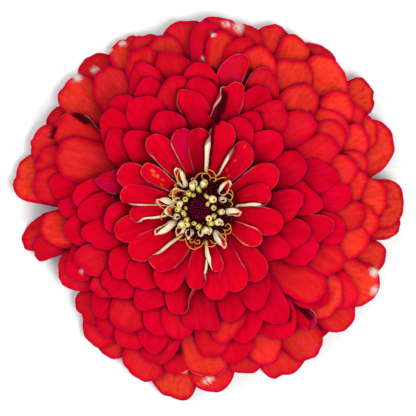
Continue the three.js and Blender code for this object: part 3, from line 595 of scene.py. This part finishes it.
def closed_sheet(points, thickness):
    """Upper and lower face of a sheet and the strip that joins them: vertices and blocks of faces."""
    rows, columns = points.shape[:2]
    normal = unit(np.cross(np.gradient(points, axis=0), np.gradient(points, axis=1)))
    half = normal * thickness[..., None] / 2
    vertices = np.concatenate(((points + half).reshape(-1, 3), (points - half).reshape(-1, 3)))
    upper = np.arange(rows * columns).reshape(rows, columns)
    lower = upper + rows * columns
    faces = [quads(upper), quads(lower)[:, ::-1]]
    for margin, turned in ((np.s_[:, 0], -1), (np.s_[:, -1], 1), (0, 1), (-1, -1)):
        faces.append(quads(np.stack((upper[margin], lower[margin])))[:, ::turned])
    return vertices, faces


def quads(index):
    """The faces of a grid of vertex numbers, facing up where rows run forward and columns run to the left."""
    corners = (index[:-1, :-1], index[1:, :-1], index[1:, 1:], index[:-1, 1:])
    return np.stack([corner.ravel() for corner in corners], axis=1)


def twice(values):
    """The same values for the upper and for the lower face of a sheet."""
    return np.concatenate((values.ravel(), values.ravel()))


def near_strokes(points, strokes, inner, outer):
    """How near each point is to short strokes along the radius: 1 within the inner share of a half-width
    and 0 beyond the outer one. A spot is a stroke with one radius, of no length."""
    found = np.zeros(points.shape[:-1])
    for stroke in strokes:
        azimuth, begin, end, half_width = stroke[0], stroke[1], stroke[-2], stroke[-1]
        out = polar(azimuth)[:2]
        radius = np.clip(points[..., :2] @ out, begin, end)
        away = np.linalg.norm(points[..., :2] - radius[..., None] * out, axis=-1)
        found = np.maximum(found, 1 - smoothstep(away, inner * half_width, outer * half_width))
    return found


def petal_part(petal, sheet, cover, thickness=PETAL_SHEET):
    """One petal, closed, with what its material reads at each vertex."""
    taper = lerp(petal.rim, 1.0, smoothstep(sheet.edge, 0.0, 1.6))
    vertices, faces = closed_sheet(sheet.points, thickness * taper)
    count = 2 * sheet.along.size
    # Painted shadow in the listed gaps, where other petals crowd round, and in the troughs of petals that
    # have one
    gap = near_strokes(sheet.points, DARK_GAPS, 0.5, 1.5) * smoothstep(cover, 0.08, 0.3)
    trough = near_strokes(sheet.points, TROUGHS, 0.75, 1.25) * petal.trough
    rolled = np.array(petal.rolls) >= 0.5 * max(petal.rolls)
    pale_side = np.where(sheet.share < 0, *np.where(rolled, 1.0, 0.25))
    pale_side = np.maximum(pale_side, 0.5 * smoothstep(sheet.along, 0.85, 0.98))
    facts = {
        "along": twice(sheet.along),
        "side_mm": twice(sheet.share * sheet.half),
        "length_mm": twice(sheet.place),
        "edge_mm": twice(sheet.edge),
        "cover": twice(cover),
        "white_spot": twice(near_strokes(sheet.points, WHITE_SPOTS, 0.4, 1.3)),
        "under": np.repeat((0.0, 1.0), count // 2),
        "gap": twice(np.maximum(gap, trough)),
        "pale": twice(petal.pale * pale_side),
        # How steep a fold is: the material paints shade there
        "hollow": twice(smoothstep(sheet.lean, petal.dark_from, petal.dark_from + 0.8)),
    }
    for fact in ("number", "warmth", "cream", "magenta", "shade", "fleck", "depth", "crowd"):
        facts[fact] = np.full(count, float(getattr(petal, fact)))
    return vertices, faces, facts


def new_object(name, data):
    """An object in the scene for a mesh, a camera or a light."""
    made = bpy.data.objects.new(name, data)
    bpy.context.scene.collection.objects.link(made)
    return made


def make_piece(name, parts, material, slot, *nodes, shift=0.0):
    """One mesh object from closed parts, riding on the bloom's body, in place of the nodes it stands for."""
    vertices = np.concatenate([part[0] for part in parts]) + shift
    blocks = []
    first = 0
    for part_vertices, faces, _ in parts:
        blocks += [block + first for block in faces]
        first += len(part_vertices)
    corners = np.concatenate([block.ravel() for block in blocks])
    sizes = np.concatenate([np.full(len(block), block.shape[1]) for block in blocks])
    mesh = bpy.data.meshes.new(name)
    mesh.vertices.add(len(vertices))
    mesh.vertices.foreach_set("co", (vertices * MM).astype(np.float32).ravel())
    mesh.loops.add(len(corners))
    mesh.loops.foreach_set("vertex_index", corners.astype(np.int32))
    mesh.polygons.add(len(sizes))
    mesh.polygons.foreach_set("loop_start", running_sum(sizes)[:-1].astype(np.int32))
    mesh.polygons.foreach_set("use_smooth", np.ones(len(sizes), dtype=bool))
    mesh.update(calc_edges=True)
    for fact in parts[0][2]:
        values = np.concatenate([part[2][fact] for part in parts]).astype(np.float32)
        mesh.attributes.new(fact, "FLOAT", "POINT").data.foreach_set("value", values)
    mesh.materials.append(material)
    piece = new_object(name, mesh)
    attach(piece, "root")
    if nodes:
        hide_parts(*nodes)


def circle(middle, first, second, radius, sides):
    """A ring of points round a middle, in the plane of two directions."""
    turn = np.linspace(0, 2 * math.pi, sides, endpoint=False)[:, None]
    return middle + radius * (np.cos(turn) * first + np.sin(turn) * second)


def shut_rings(rings, start, end):
    """A closed body through rings of points, its two ends shut by fans round two points more."""
    count, sides = len(rings), len(rings[0])
    ring = np.arange(count * sides).reshape(count, sides)
    after = np.roll(ring, -1, axis=1)
    around = quads(np.concatenate((ring, ring[:, :1]), axis=1))[:, ::-1]
    foot = np.stack((np.full(sides, count * sides), after[0], ring[0]), axis=1)
    head = np.stack((np.full(sides, count * sides + 1), ring[-1], after[-1]), axis=1)
    return np.concatenate((*rings, [start, end])), [around, foot, head]


def tube_part(path, radii, sides=8):
    """A closed tube along points, which tapers from one radius to another."""
    tangent = unit(np.gradient(path, axis=0))
    first = unit(np.cross(tangent[0], UP if abs(tangent[0, 2]) < 0.9 else X_AXIS))
    rings = []
    for point, direction, radius in zip(path, tangent, np.linspace(*radii, len(path))):
        first = unit(first - direction * np.dot(first, direction))
        rings.append(circle(point, first, np.cross(direction, first), radius, sides))
    along = np.concatenate((np.repeat(np.linspace(0, 1, len(path)), sides), (0.0, 1.0)))
    return *shut_rings(rings, path[0], path[-1]), {"along": along}


def cup_part(foot, head, radius, nod):
    """A tube that bends over to one side and swells to its lobed mouth, which has a rim and a hollow."""
    # Share of the length, share of the radius, and how deep in the hollow
    outline = [
        (0, 0.62, 0), (0.3, 0.72, 0), (0.6, 0.92, 0), (0.8, 1, 0), (0.93, 0.94, 0), (1, 0.72, 0),
        (1.02, 0.5, 0.3), (0.96, 0.34, 1), (0.88, 0.24, 1), (0.84, 0.02, 1),
    ]
    sides = 18
    lobes = 0.06 * np.cos(5 * np.linspace(0, 2 * math.pi, sides, endpoint=False)[:, None])
    rings = []
    for along, size, _ in outline:
        bent = max(0.0, along - 0.5) / 0.5
        axis = unit(head - foot + 4 * bent * nod)
        first = unit(np.cross(axis, (0.3, 1.0, 0.1)))
        middle = lerp(foot, head, along) + nod * bent ** 2
        rings.append(circle(middle, first, np.cross(axis, first), size * radius * (1 + size * lobes), sides))
    along, _, hollow = np.repeat(outline, sides, axis=0).T
    facts = {"along": np.append(along, (0.0, 0.8)), "hollow": np.append(hollow, (0.0, 1.0))}
    return *shut_rings(rings, rings[0].mean(axis=0), rings[-1].mean(axis=0)), facts


def lathe_part(outline, sides=64):
    """A closed body turned about +Z from its outline in radius and height, from the bottom up."""
    rings = [circle(UP * height, X_AXIS, Y_AXIS, max(radius, 0.001), sides) for radius, height in outline]
    return shut_rings(rings, UP * outline[0][1], UP * outline[-1][1])


class Graph:
    """Short words for a material's nodes."""

    def __init__(self, name):
        self.material = bpy.data.materials.new(name)
        self.material.use_nodes = True
        self.tree = self.material.node_tree
        self.shader = self.tree.nodes["Principled BSDF"]
        self.normal = None

    def plug(self, value, socket):
        """Links a node's output to a socket, or sets the socket to a colour or a number."""
        if isinstance(value, bpy.types.NodeSocket):
            self.tree.links.new(value, socket)
        elif isinstance(value, tuple) and socket.type == "RGBA":
            socket.default_value = (*value, 1.0)
        else:
            socket.default_value = value

    def node(self, kind, inputs=(), output=0, **settings):
        """A new node's output. Inputs and outputs go by their name or number."""
        node = self.tree.nodes.new("ShaderNode" + kind)
        for name, value in settings.items():
            setattr(node, name, value)
        for socket, value in dict(inputs).items():
            self.plug(value, node.inputs[socket])
        return node.outputs[output]

    def read(self, *names):
        """What the mesh says of each vertex, under one name or several."""
        found = [self.node("Attribute", output="Fac", attribute_name=name) for name in names]
        return found if len(found) > 1 else found[0]

    def math(self, operation, *values):
        return self.node("Math", enumerate(values), operation=operation)

    def times(self, *values):
        product = values[0]
        for value in values[1:]:
            product = self.math("MULTIPLY", product, value)
        return product

    def ramp(self, value, low, high, start=0.0, end=1.0):
        """Turns values from low to high smoothly into start to end."""
        inputs = {"Value": value, "From Min": low, "From Max": high, "To Min": start, "To Max": end}
        return self.node("MapRange", inputs, "Result", interpolation_type="SMOOTHSTEP")

    def mix(self, share, first, second, blend="MIX"):
        """The second colour laid over the first by a share."""
        inputs = {0: share, 6: first, 7: second}  # the sockets for colours
        return self.node("Mix", inputs, 2, data_type="RGBA", blend_type=blend)

    def coats(self, color, *coats):
        """A colour with others laid over it in turn, each by its share."""
        for share, coat in coats:
            color = self.mix(share, color, coat)
        return color

    def vector(self, *values):
        return self.node("CombineXYZ", enumerate(values))

    def noise(self, place, scale, detail=3.0, roughness=0.55):
        inputs = {"Vector": place, "Scale": scale, "Detail": detail, "Roughness": roughness}
        return self.node("TexNoise", inputs, "Fac")

    def streaks(self, stretch, draw, scale, detail):
        """Noise drawn out along a blade, the more so the smaller the stretch, and new for each blade."""
        side, length, number = self.read("side_mm", "length_mm", "number")
        place = self.vector(side, self.times(length, stretch), self.times(number, draw))
        return self.noise(place, scale, detail)

    def place(self):
        """Place in the bloom, in metres."""
        return self.node("TexCoord", output="Object")

    def bump(self, height, distance, strength):
        inputs = {"Strength": strength, "Distance": distance, "Height": height}
        self.normal = self.node("Bump", inputs, "Normal")
        self.plug(self.normal, self.shader.inputs["Normal"])

    def finish(self, color, roughness, translucent=0.0, specular=0.5):
        given = {"Base Color": color, "Roughness": roughness, "Specular IOR Level": specular}
        for name, value in given.items():
            self.plug(value, self.shader.inputs[name])
        if translucent:
            through = self.node("BsdfTranslucent", {"Color": color, "Normal": self.normal})
            mixed = self.node("MixShader", {0: translucent, 1: self.shader.outputs[0], 2: through})
            self.plug(mixed, self.tree.nodes["Material Output"].inputs["Surface"])
        return self.material


def petal_material():
    """Satin petal: crimson to orange, the orange partly painted light shining through, with a redder band
    along the margin, a thin dark or pale edge, painted shade towards the claw, in folds and gaps and where
    other petals crowd over it, and pale underneath."""
    g = Graph("petal_satin")
    edge, along, warmth, cream, magenta = g.read("edge_mm", "along", "warmth", "cream", "magenta")
    shade, pale, fleck, depth, crowd = g.read("shade", "pale", "fleck", "depth", "crowd")
    under, cover, white_spot, gap, hollow = g.read("under", "cover", "white_spot", "gap", "hollow")
    lines = g.streaks(0.06, 3.7, 1.5, 2.0)
    broad = g.streaks(0.25, 1.9, 0.55, 2.0)
    blotch = g.streaks(0.5, 5.3, 0.9, 3.0)
    patch = g.streaks(0.4, 2.3, 0.9, 1.0)
    mottle = g.noise(g.place(), 900.0)

    # Orange away from the margin: partly the petals' own colour, partly painted light shining through them
    orange_and_backlight = g.times(warmth, g.ramp(edge, 0.3, 2.5), g.ramp(broad, 0.3, 0.7, 0.75, 1.15))
    body = g.coats(
        CRIMSON,
        (g.times(orange_and_backlight, g.ramp(along, 0.5, 0.85, 0.6)), ORANGE),
        (g.times(magenta, g.ramp(broad, 0.35, 0.7)), MAGENTA),
        (g.times(fleck, g.ramp(patch, 0.64, 0.72)), FLECK_ORANGE),
        (g.times(warmth, g.ramp(blotch, 0.55, 0.3), 0.5), CRIMSON),
        # Darker red towards the claw: partly the petal's own deeper red, partly painted shade
        (g.times(depth, g.ramp(along, 0.88, 0.45)), DEEP_RED),
    )
    # Lighter or darker by each petal's shade, which is partly random and partly painted light and shade, and
    # by its own streaks and mottling
    tone = g.math("MULTIPLY_ADD", shade, 0.09, g.ramp(lines, 0.3, 0.7, 0.92, 1.05))
    tone = g.times(tone, g.ramp(mottle, 0.3, 0.7, 0.95, 1.04), g.ramp(broad, 0.3, 0.7, 0.9, 1.04))
    broken = g.times(g.ramp(broad, 0.40, 0.62, 0.15, 1.0), g.ramp(along, 1.0, 0.8, 0.35, 1.0))
    body = g.coats(
        g.mix(1.0, body, g.vector(tone, tone, tone), "MULTIPLY"),
        (g.times(g.ramp(edge, 0.30, 0.02), g.ramp(pale, 0.2, 0.8, 0.7, 0.0)), MARGIN_RED),
        # Painted shade inside steep folds and rolls
        (g.times(hollow, 0.9), SHADOW_RED),
        (g.times(g.ramp(edge, 0.32, 0.03), pale, g.math("MAXIMUM", broken, hollow)), PINK_CREAM),
        # Painted shade where other petals crowd round and over it, in the listed gaps and troughs, and
        # deepest where it lies covered
        (g.times(crowd, g.ramp(cover, 0.06, 0.65)), DEEP_RED),
        (g.times(gap, 0.97), SHADOW_RED),
        (g.ramp(cover, 0.45, 0.9, 0.0, 0.8), SHADOW_RED),
    )

    red_lining = g.coats(
        LINING_RED,
        (g.ramp(lines, 0.45, 0.7, 0.0, 0.18), PALE_PINK),
        (g.times(g.ramp(edge, 0.3, 0.05), pale), PALE_PINK),
    )
    cream_lining = g.mix(g.ramp(lines, 0.5, 0.75, 0.0, 0.35), CREAM, DULL_CREAM)
    lining = g.mix(g.ramp(cream, 0.0, 0.3), red_lining, cream_lining)
    color = g.coats(
        body,
        (g.times(under, g.math("MAXIMUM", hollow, g.ramp(edge, 0.0, 0.12))), lining),
        (g.times(white_spot, g.ramp(mottle, 0.2, 0.5), 0.9), SPOT_WHITE),
    )
    g.bump(lines, 0.0001, 0.3)
    return g.finish(color, 0.65, translucent=0.2, specular=0.015)


def quill_material():
    """Cream outside and red inside, with a pale rim."""
    g = Graph("quill_cream")
    edge, along, under, warmth = g.read("edge_mm", "along", "under", "warmth")
    lines = g.streaks(0.1, 1.0, 4.0, 2.0)
    inside = g.coats(
        THROAT_RED,
        (g.ramp(along, 0.2, 0.6), g.mix(warmth, QUILL_RED, QUILL_ORANGE)),
        (g.ramp(edge, 0.55, 0.35), PINK_CREAM),
        (g.ramp(edge, 0.40, 0.20), CREAM),
    )
    outside = g.coats(
        CREAM,
        (g.ramp(lines, 0.42, 0.7, 0.0, 0.55), QUILL_STRAW),
        (g.ramp(along, 0.6, 0.15, 0.0, 0.85), QUILL_FOOT),
    )
    g.bump(lines, 0.0001, 0.5)
    return g.finish(g.mix(under, inside, outside), 0.55, translucent=0.18, specular=0.2)


def bud_material():
    g = Graph("bud_yellow_green")
    along, hollow, ripe = g.read("along", "hollow", "ripe")
    spots = g.noise(g.place(), 1800.0, 2.0)
    color = g.coats(
        BUD_FOOT,
        (g.ramp(along, 0.35, 0.85), g.mix(ripe, BUD_GREEN, BUD_CREAM)),
        (hollow, g.mix(ripe, MOUTH_OLIVE, MOUTH_ORANGE)),
        (g.ramp(spots, 0.5, 0.7, 0.0, 0.25), BUD_POLLEN),
    )
    g.bump(spots, 0.0001, 0.4)
    return g.finish(color, 0.5)


def style_material():
    g = Graph("style_gold")
    spots = g.noise(g.place(), 2500.0, 2.0)
    color = g.coats(
        DARK_GOLD,
        (g.ramp(g.read("along"), 0.2, 0.8), GOLD),
        (g.ramp(spots, 0.45, 0.7, 0.0, 0.5), BRIGHT_GOLD),
    )
    g.bump(spots, 0.0001, 0.6)
    return g.finish(color, 0.5)


def scale_material(name, tip_color):
    g = Graph(name)
    fine = g.noise(g.place(), 2200.0)
    along, bright = g.read("along", "bright")
    color = g.coats(
        MAROON,
        (g.times(g.ramp(along, 0.7, 1.0), bright), tip_color),
        (g.ramp(fine, 0.5, 0.7, 0.0, 0.4), LIGHT_MAROON),
    )
    g.bump(fine, 0.0001, 0.5)
    return g.finish(color, 0.7, specular=0.1)


def bract_material():
    """Leaf green with a dark dry margin and faint veins."""
    g = Graph("bract_green")
    veins = g.streaks(0.12, 1.0, 1.6, 3.0)
    mottle = g.noise(g.place(), 500.0, 4.0)
    rim = g.math("ADD", g.read("edge_mm"), g.ramp(mottle, 0.3, 0.7, -0.25, 0.25))
    color = g.coats(
        BRACT_GREEN,
        (g.ramp(veins, 0.35, 0.7), BRACT_VEIN),
        (g.ramp(mottle, 0.5, 0.8, 0.0, 0.4), BRACT_OLIVE),
        (g.ramp(rim, 0.75, 0.3, 0.0, 0.92), BRACT_BROWN),
    )
    g.bump(veins, 0.0002, 0.6)
    return g.finish(color, 0.6)


def core_material():
    """Green at the foot, red like the petals' claws on the flank and dark on the crown among the scales."""
    g = Graph("receptacle")
    fine = g.noise(g.place(), 700.0)
    flank, crown = g.read("flank", "crown")
    foot = g.mix(g.ramp(fine, 0.3, 0.7), FOOT_GREEN, FOOT_OLIVE)
    color = g.coats(foot, (flank, DEEP_RED), (crown, MAROON))
    g.bump(fine, 0.0002, 0.5)
    return g.finish(color, 0.8, specular=0.05)


def floor_material():
    g = Graph("pale_floor")
    fine = g.noise(g.place(), 60.0)
    return g.finish(g.mix(g.ramp(fine, 0.3, 0.7), FLOOR_WHITE, FLOOR_GREY), 0.9)


def make_petals():
    """All ray petals, laid on each other from the rim inwards, in a piece for each whorl."""
    middle = middle_petals()
    whorls = {
        "rim_petals": rim_petals(),
        "outer_petals": [petal for petal in middle if petal.reach >= OUTER_FROM],
        "inner_petals": [petal for petal in middle if petal.reach < OUTER_FROM],
        "eye_petals": eye_petals(),
    }
    pile = Pile()
    laid = {}
    for name, petals in whorls.items():
        laid[name] = [(petal, petal_sheet(petal)) for petal in petals]
        for petal, sheet in laid[name]:
            pile.lay(petal, sheet)
    material = petal_material()
    for name, pairs in laid.items():
        parts = [petal_part(petal, sheet, pile.cover(sheet.points)) for petal, sheet in pairs]
        make_piece(name, parts, material, "petal_red", "ray_petals")


def make_quills():
    """The young petals rolled lengthways, closed at the foot and open at the mouth."""
    parts = []
    for i, (azimuth, reach, half_width, mouth, tilt, orange) in enumerate(QUILLS):
        root = lerp(*QUILL_ROOTS, min(1.0, (reach - 8) / 2))
        petal = new_petal(
            500 + i, azimuth, reach, half_width=half_width * QUILL_WIDENING, start=0.0, elbow=0.3, tilt=tilt,
            root=(root, CROWN_FLOOR + 0.5), tip_height=37.2 + 0.12 * (reach - 8), tip_slope=0,
            curl=QUILL_CURL, opening=lerp(5.9, 4.9, mouth) - QUILL_CURL, opens_at=lerp(0.75, 0.5, mouth),
            claw=0.62, limb_from=0.5, mouth_width=0.9, twist=0.2 * jitter(i, 51), tip_depth=0.75,
            tip_bend=0.5, wave=0.0, rows=30, columns=35, warmth=orange,
        )
        sheet = petal_sheet(petal)
        parts.append(petal_part(petal, sheet, np.zeros(sheet.along.shape), QUILL_SHEET))
    make_piece("quills", parts, quill_material(), "quill_cream", "quilled_florets", shift=EYE_SHIFT)


def make_styles():
    """Gold styles among the quills, each forked into two arms that curl in on themselves."""
    parts = []
    for k, azimuth in enumerate(STYLES):
        foot = 8.0 + 0.9 * jitter(k, 61)
        fork = polar(azimuth + 2 * jitter(k, 64), foot + 0.9, 37.3 + 0.7 * jitter(k, 62))
        stem = [polar(azimuth, foot, CROWN_FLOOR + 1), polar(azimuth, foot + 0.3, 34.6), fork]
        arms = [style_arm(fork, azimuth, side, k) for side in (-1, 1)]
        parts.append(tube_part(smooth_path(stem, 12), (0.13, 0.13)))
        parts += [tube_part(arm, (0.14, 0.10)) for arm in arms]
    make_piece("styles", parts, style_material(), "bud_yellow", "quilled_florets", shift=EYE_SHIFT)


def style_arm(fork, azimuth, side, k, count=28):
    """The line of a style's arm: it leaves outwards, bends more and more to one side and sinks."""
    length = 3.4 + 1.8 * jitter(k, 65 + side)
    turn = side * (170 + 170 * jitter(k, 68 + side))
    share = np.linspace(0, 1, count)
    heading = azimuth + side * 35 + turn * share ** 1.6
    across = length / (count - 1) * np.array([polar(angle) for angle in heading[1:]])
    line = fork + np.concatenate((np.zeros((1, 3)), np.cumsum(across, axis=0)))
    line[:, 2] += 1.5 * np.sin(share * math.pi * 0.75) - 0.5 * share
    return line


def smooth_path(points, count):
    """A smooth curve through points."""
    points = np.asarray(points, float)
    padded = np.concatenate(([2 * points[0] - points[1]], points, [2 * points[-1] - points[-2]]))
    made = []
    for place in np.linspace(0, len(points) - 1, count):
        i = min(int(place), len(points) - 2)
        t = place - i
        p0, p1, p2, p3 = padded[i:i + 4]
        made.append(0.5 * (2 * p1 + (p2 - p0) * t + (2 * p0 - 5 * p1 + 4 * p2 - p3) * t ** 2
                           + (3 * p1 - p0 - 3 * p2 + p3) * t ** 3))
    return np.array(made)


def make_buds():
    """Short yellow-green tubes, open at the top, round the eye. The taller ones are the riper."""
    parts = []
    for k, (azimuth, radius, mouth, height, lean) in enumerate(BUDS):
        foot = polar(azimuth, radius, CROWN_FLOOR)
        head = polar(azimuth + 3 * jitter(k, 71), radius - lean, CROWN_FLOOR + 0.5 + height)
        nod = polar(azimuth + 100 * jitter(k, 72), 0.9 + 0.4 * jitter(k, 73))
        vertices, faces, facts = cup_part(foot, head, 1.05 * mouth, nod)
        facts["ripe"] = np.full(len(vertices), float(smoothstep(height, 5.0, 5.5)))
        parts.append((vertices, faces, facts))
    make_piece("floret_tubes", parts, bud_material(), "bud_yellow", "floret_buds", shift=EYE_SHIFT)


def scale_part(foot, tip, number, width, bright):
    """A narrow pointed scale with a fringed end."""
    axis = tip - foot
    side = unit(np.cross(axis, UP) + 1e-3 * X_AXIS)
    turn = 2.4 * jitter(number, 81)
    side = side * math.cos(turn) + unit(np.cross(axis, side)) * math.sin(turn)
    rows, columns = 7, 5
    along = np.linspace(0, 1, rows)[:, None]
    share = np.linspace(-1, 1, columns)[None, :]
    teeth = 0.16 * np.cos(share * math.pi * 2) * smoothstep(along, 0.7, 1.0)
    half = width * np.sqrt(np.clip(1 - along ** 3 * 0.75, 0, 1))
    points = foot + axis * (along * (1 + teeth))[..., None] + side * (share * half)[..., None]
    vertices, faces = closed_sheet(points, np.full((rows, columns), SCALE_SHEET))
    flat = np.broadcast_to(along, (rows, columns))
    return vertices, faces, {"along": twice(flat), "bright": np.full(len(vertices), bright)}


def make_scales():
    """The dark eye: a cone of scales in a spiral, and more scales between the florets round it."""
    cone_rise, over_cone, length = 4.2, 1.6, 4.2
    count = 110
    parts = []
    for k in range(count):
        radius = (CHAFF_RADIUS - 0.2) * math.sqrt((k + 0.5) / count)
        azimuth = k * GOLDEN_ANGLE
        cone = CROWN_FLOOR + cone_rise * (1 - 0.6 * (radius / CHAFF_RADIUS) ** 2)
        top = cone + over_cone + 0.4 * jitter(k, 82)
        foot = polar(azimuth, 0.9 * radius, top - length)
        tip = polar(azimuth + 6 * jitter(k, 83), 0.92 * radius, top)
        # Tips lighter towards the cone's edge: painted light where the edge lies in shade, and lighter or
        # darker at random
        bright = 0.6 + 0.4 * radius / CHAFF_RADIUS + 0.4 * jitter(k, 85)
        parts.append(scale_part(foot, tip, k, width=0.34, bright=bright))
    maroon = scale_material("chaff_maroon", EYE_TIP)
    make_piece("eye_scales", parts, maroon, "eye_maroon", "chaff_cone", shift=EYE_SHIFT)

    inner, outer = 3.6, 9.8
    count = 260
    parts = []
    for k in range(count):
        radius = math.sqrt(lerp(inner ** 2, outer ** 2, (k + 0.5) / count))
        azimuth = k * GOLDEN_ANGLE + 40
        top = CROWN_FLOOR + lerp(5.0, 4.4, (radius - 4) / 6) + 0.6 * jitter(k, 84)
        foot = polar(azimuth, radius - 0.3, CROWN_FLOOR - 0.2)
        tip = polar(azimuth, radius + 0.4, top)
        parts.append(scale_part(foot, tip, 200 + k, width=0.5, bright=0.6 + 0.4 * jitter(k, 86)))
    brown = scale_material("chaff_brown", FLORET_TIP)
    make_piece("floret_scales", parts, brown, "eye_maroon", shift=EYE_SHIFT)


def bowl_radius(height):
    return lerp(CUT_RADIUS, CUP_RADIUS, np.sin(height / CUP_TOP * math.pi / 2))


def make_involucre():
    """The green bowl and the three rows of bracts on it."""
    heights = np.linspace(0, CUP_TOP, 16)
    vertices, faces = lathe_part([(bowl_radius(z) - 0.2, z) for z in heights])
    plain = np.zeros(len(vertices))
    facts = {"side_mm": plain, "length_mm": plain, "edge_mm": plain + 3.0, "number": plain}
    parts = [(vertices, faces, facts)]
    for count, *form, first in BRACT_ROWS:
        for k in range(count):
            parts.append(bract_part(first + k * 360 / count, *form, k))
    make_piece("involucre_bracts", parts, bract_material(), "bract_green", "involucre")


def bract_part(azimuth, root_height, tip_height, half_width, stand_off, k):
    """One rounded bract that hugs the bowl, as a grid wrapped round it."""
    rows, columns = 18, 17
    share = np.sin(np.linspace(-1, 1, columns) * math.pi / 2)
    length = tip_height - root_height
    end = length - half_width * 0.7 * (1 - np.sqrt(1 - np.abs(share) ** 2.2))
    place = end[None, :] * np.linspace(0, 1, rows)[:, None]
    along = place / length
    height = root_height + place
    bowl = bowl_radius(np.clip(height, 0, CUP_TOP))
    radius = bowl + lerp(-1.0, stand_off, smoothstep(along, 0.0, 0.8)) - 0.25 * np.abs(share) ** 2
    angle = math.radians(azimuth) - share[None, :] * half_width / np.maximum(bowl + 1, 1)
    points = np.stack((radius * np.cos(angle), radius * np.sin(angle), height), axis=2)
    vertices, faces = closed_sheet(points, np.full((rows, columns), BRACT_SHEET))
    edge = np.minimum(half_width * (1 - np.abs(share))[None, :], end[None, :] - place)
    facts = {
        "side_mm": twice(np.broadcast_to(share * half_width, along.shape)), "length_mm": twice(place),
        "edge_mm": twice(edge), "number": np.full(2 * along.size, 5.0 + k),
    }
    return vertices, faces, facts


def make_core():
    """The receptacle that carries the petals, with its crown between the florets."""
    outline = [
        (0, CORE_FLOOR), (12.4, CORE_FLOOR), (13.2, 16), (12.6, 20), (11, 28), (10.4, CROWN_FLOOR - 0.8),
        (10.0, CROWN_FLOOR - 0.2), (9.0, CROWN_FLOOR), (0, CROWN_FLOOR + 0.3),
    ]
    vertices, faces = lathe_part(outline)
    facts = {"flank": smoothstep(vertices[:, 2], 14.2, 15.5), "crown": smoothstep(vertices[:, 2], 24, 28)}
    make_piece("receptacle", [(vertices, faces, facts)], core_material(), "petal_red", "ray_petals")


def make_floor():
    size = 2.5
    mesh = bpy.data.meshes.new("floor")
    corners = [(-size, -size, 0), (size, -size, 0), (size, size, 0), (-size, size, 0)]
    mesh.from_pydata(corners, [], [(0, 1, 2, 3)])
    mesh.materials.append(floor_material())
    floor = new_object("floor", mesh)


def make_camera():
    """Straight above the bloom, far off, with the photograph's frame and the same scale."""
    pixel = 0.2828 * MM  # what a pixel of the photograph spans on the bloom
    side_pixels = 416
    eye_pixel = (204, 207)  # where the photograph shows the middle of the bloom
    distance = 1.30
    level = 0.008  # height in the bloom at which the scale is right
    data = bpy.data.cameras.new("camera")
    data.sensor_width = 36
    data.lens = data.sensor_width * (distance - level) / (side_pixels * pixel)
    data.clip_end = 20
    camera = new_object("camera", data)
    right, down = (side_pixels / 2 - place for place in eye_pixel)
    camera.location = (right * pixel, -down * pixel, distance)
    bpy.context.scene.camera = camera


def area_light(name, place, target, size, power):
    data = bpy.data.lights.new(name, "AREA")
    data.shape = "DISK"
    data.size = size
    data.energy = power
    light = new_object(name, data)
    light.location = place
    light.rotation_mode = "QUATERNION"
    light.rotation_quaternion = (Vector(target) - Vector(place)).to_track_quat("-Z", "Y")


def make_light():
    """Bright even daylight with a soft key from the lower right and a fill from the upper left."""
    world = bpy.data.worlds.new("studio")
    world.use_nodes = True
    background = world.node_tree.nodes["Background"]
    background.inputs["Color"].default_value = (1.0, 0.99, 0.98, 1)
    background.inputs["Strength"].default_value = 0.70
    bpy.context.scene.world = world
    bloom = (0, 0, 0.02)
    area_light("key", (0.35, -0.25, 1.1), bloom, 0.5, 9)
    area_light("fill", (-0.7, 0.3, 0.9), bloom, 0.9, 4)
    bpy.context.scene.view_settings.view_transform = "Standard"


make_camera()
make_light()
make_floor()
make_petals()
make_core()
make_quills()
make_styles()
make_buds()
make_scales()
make_involucre()
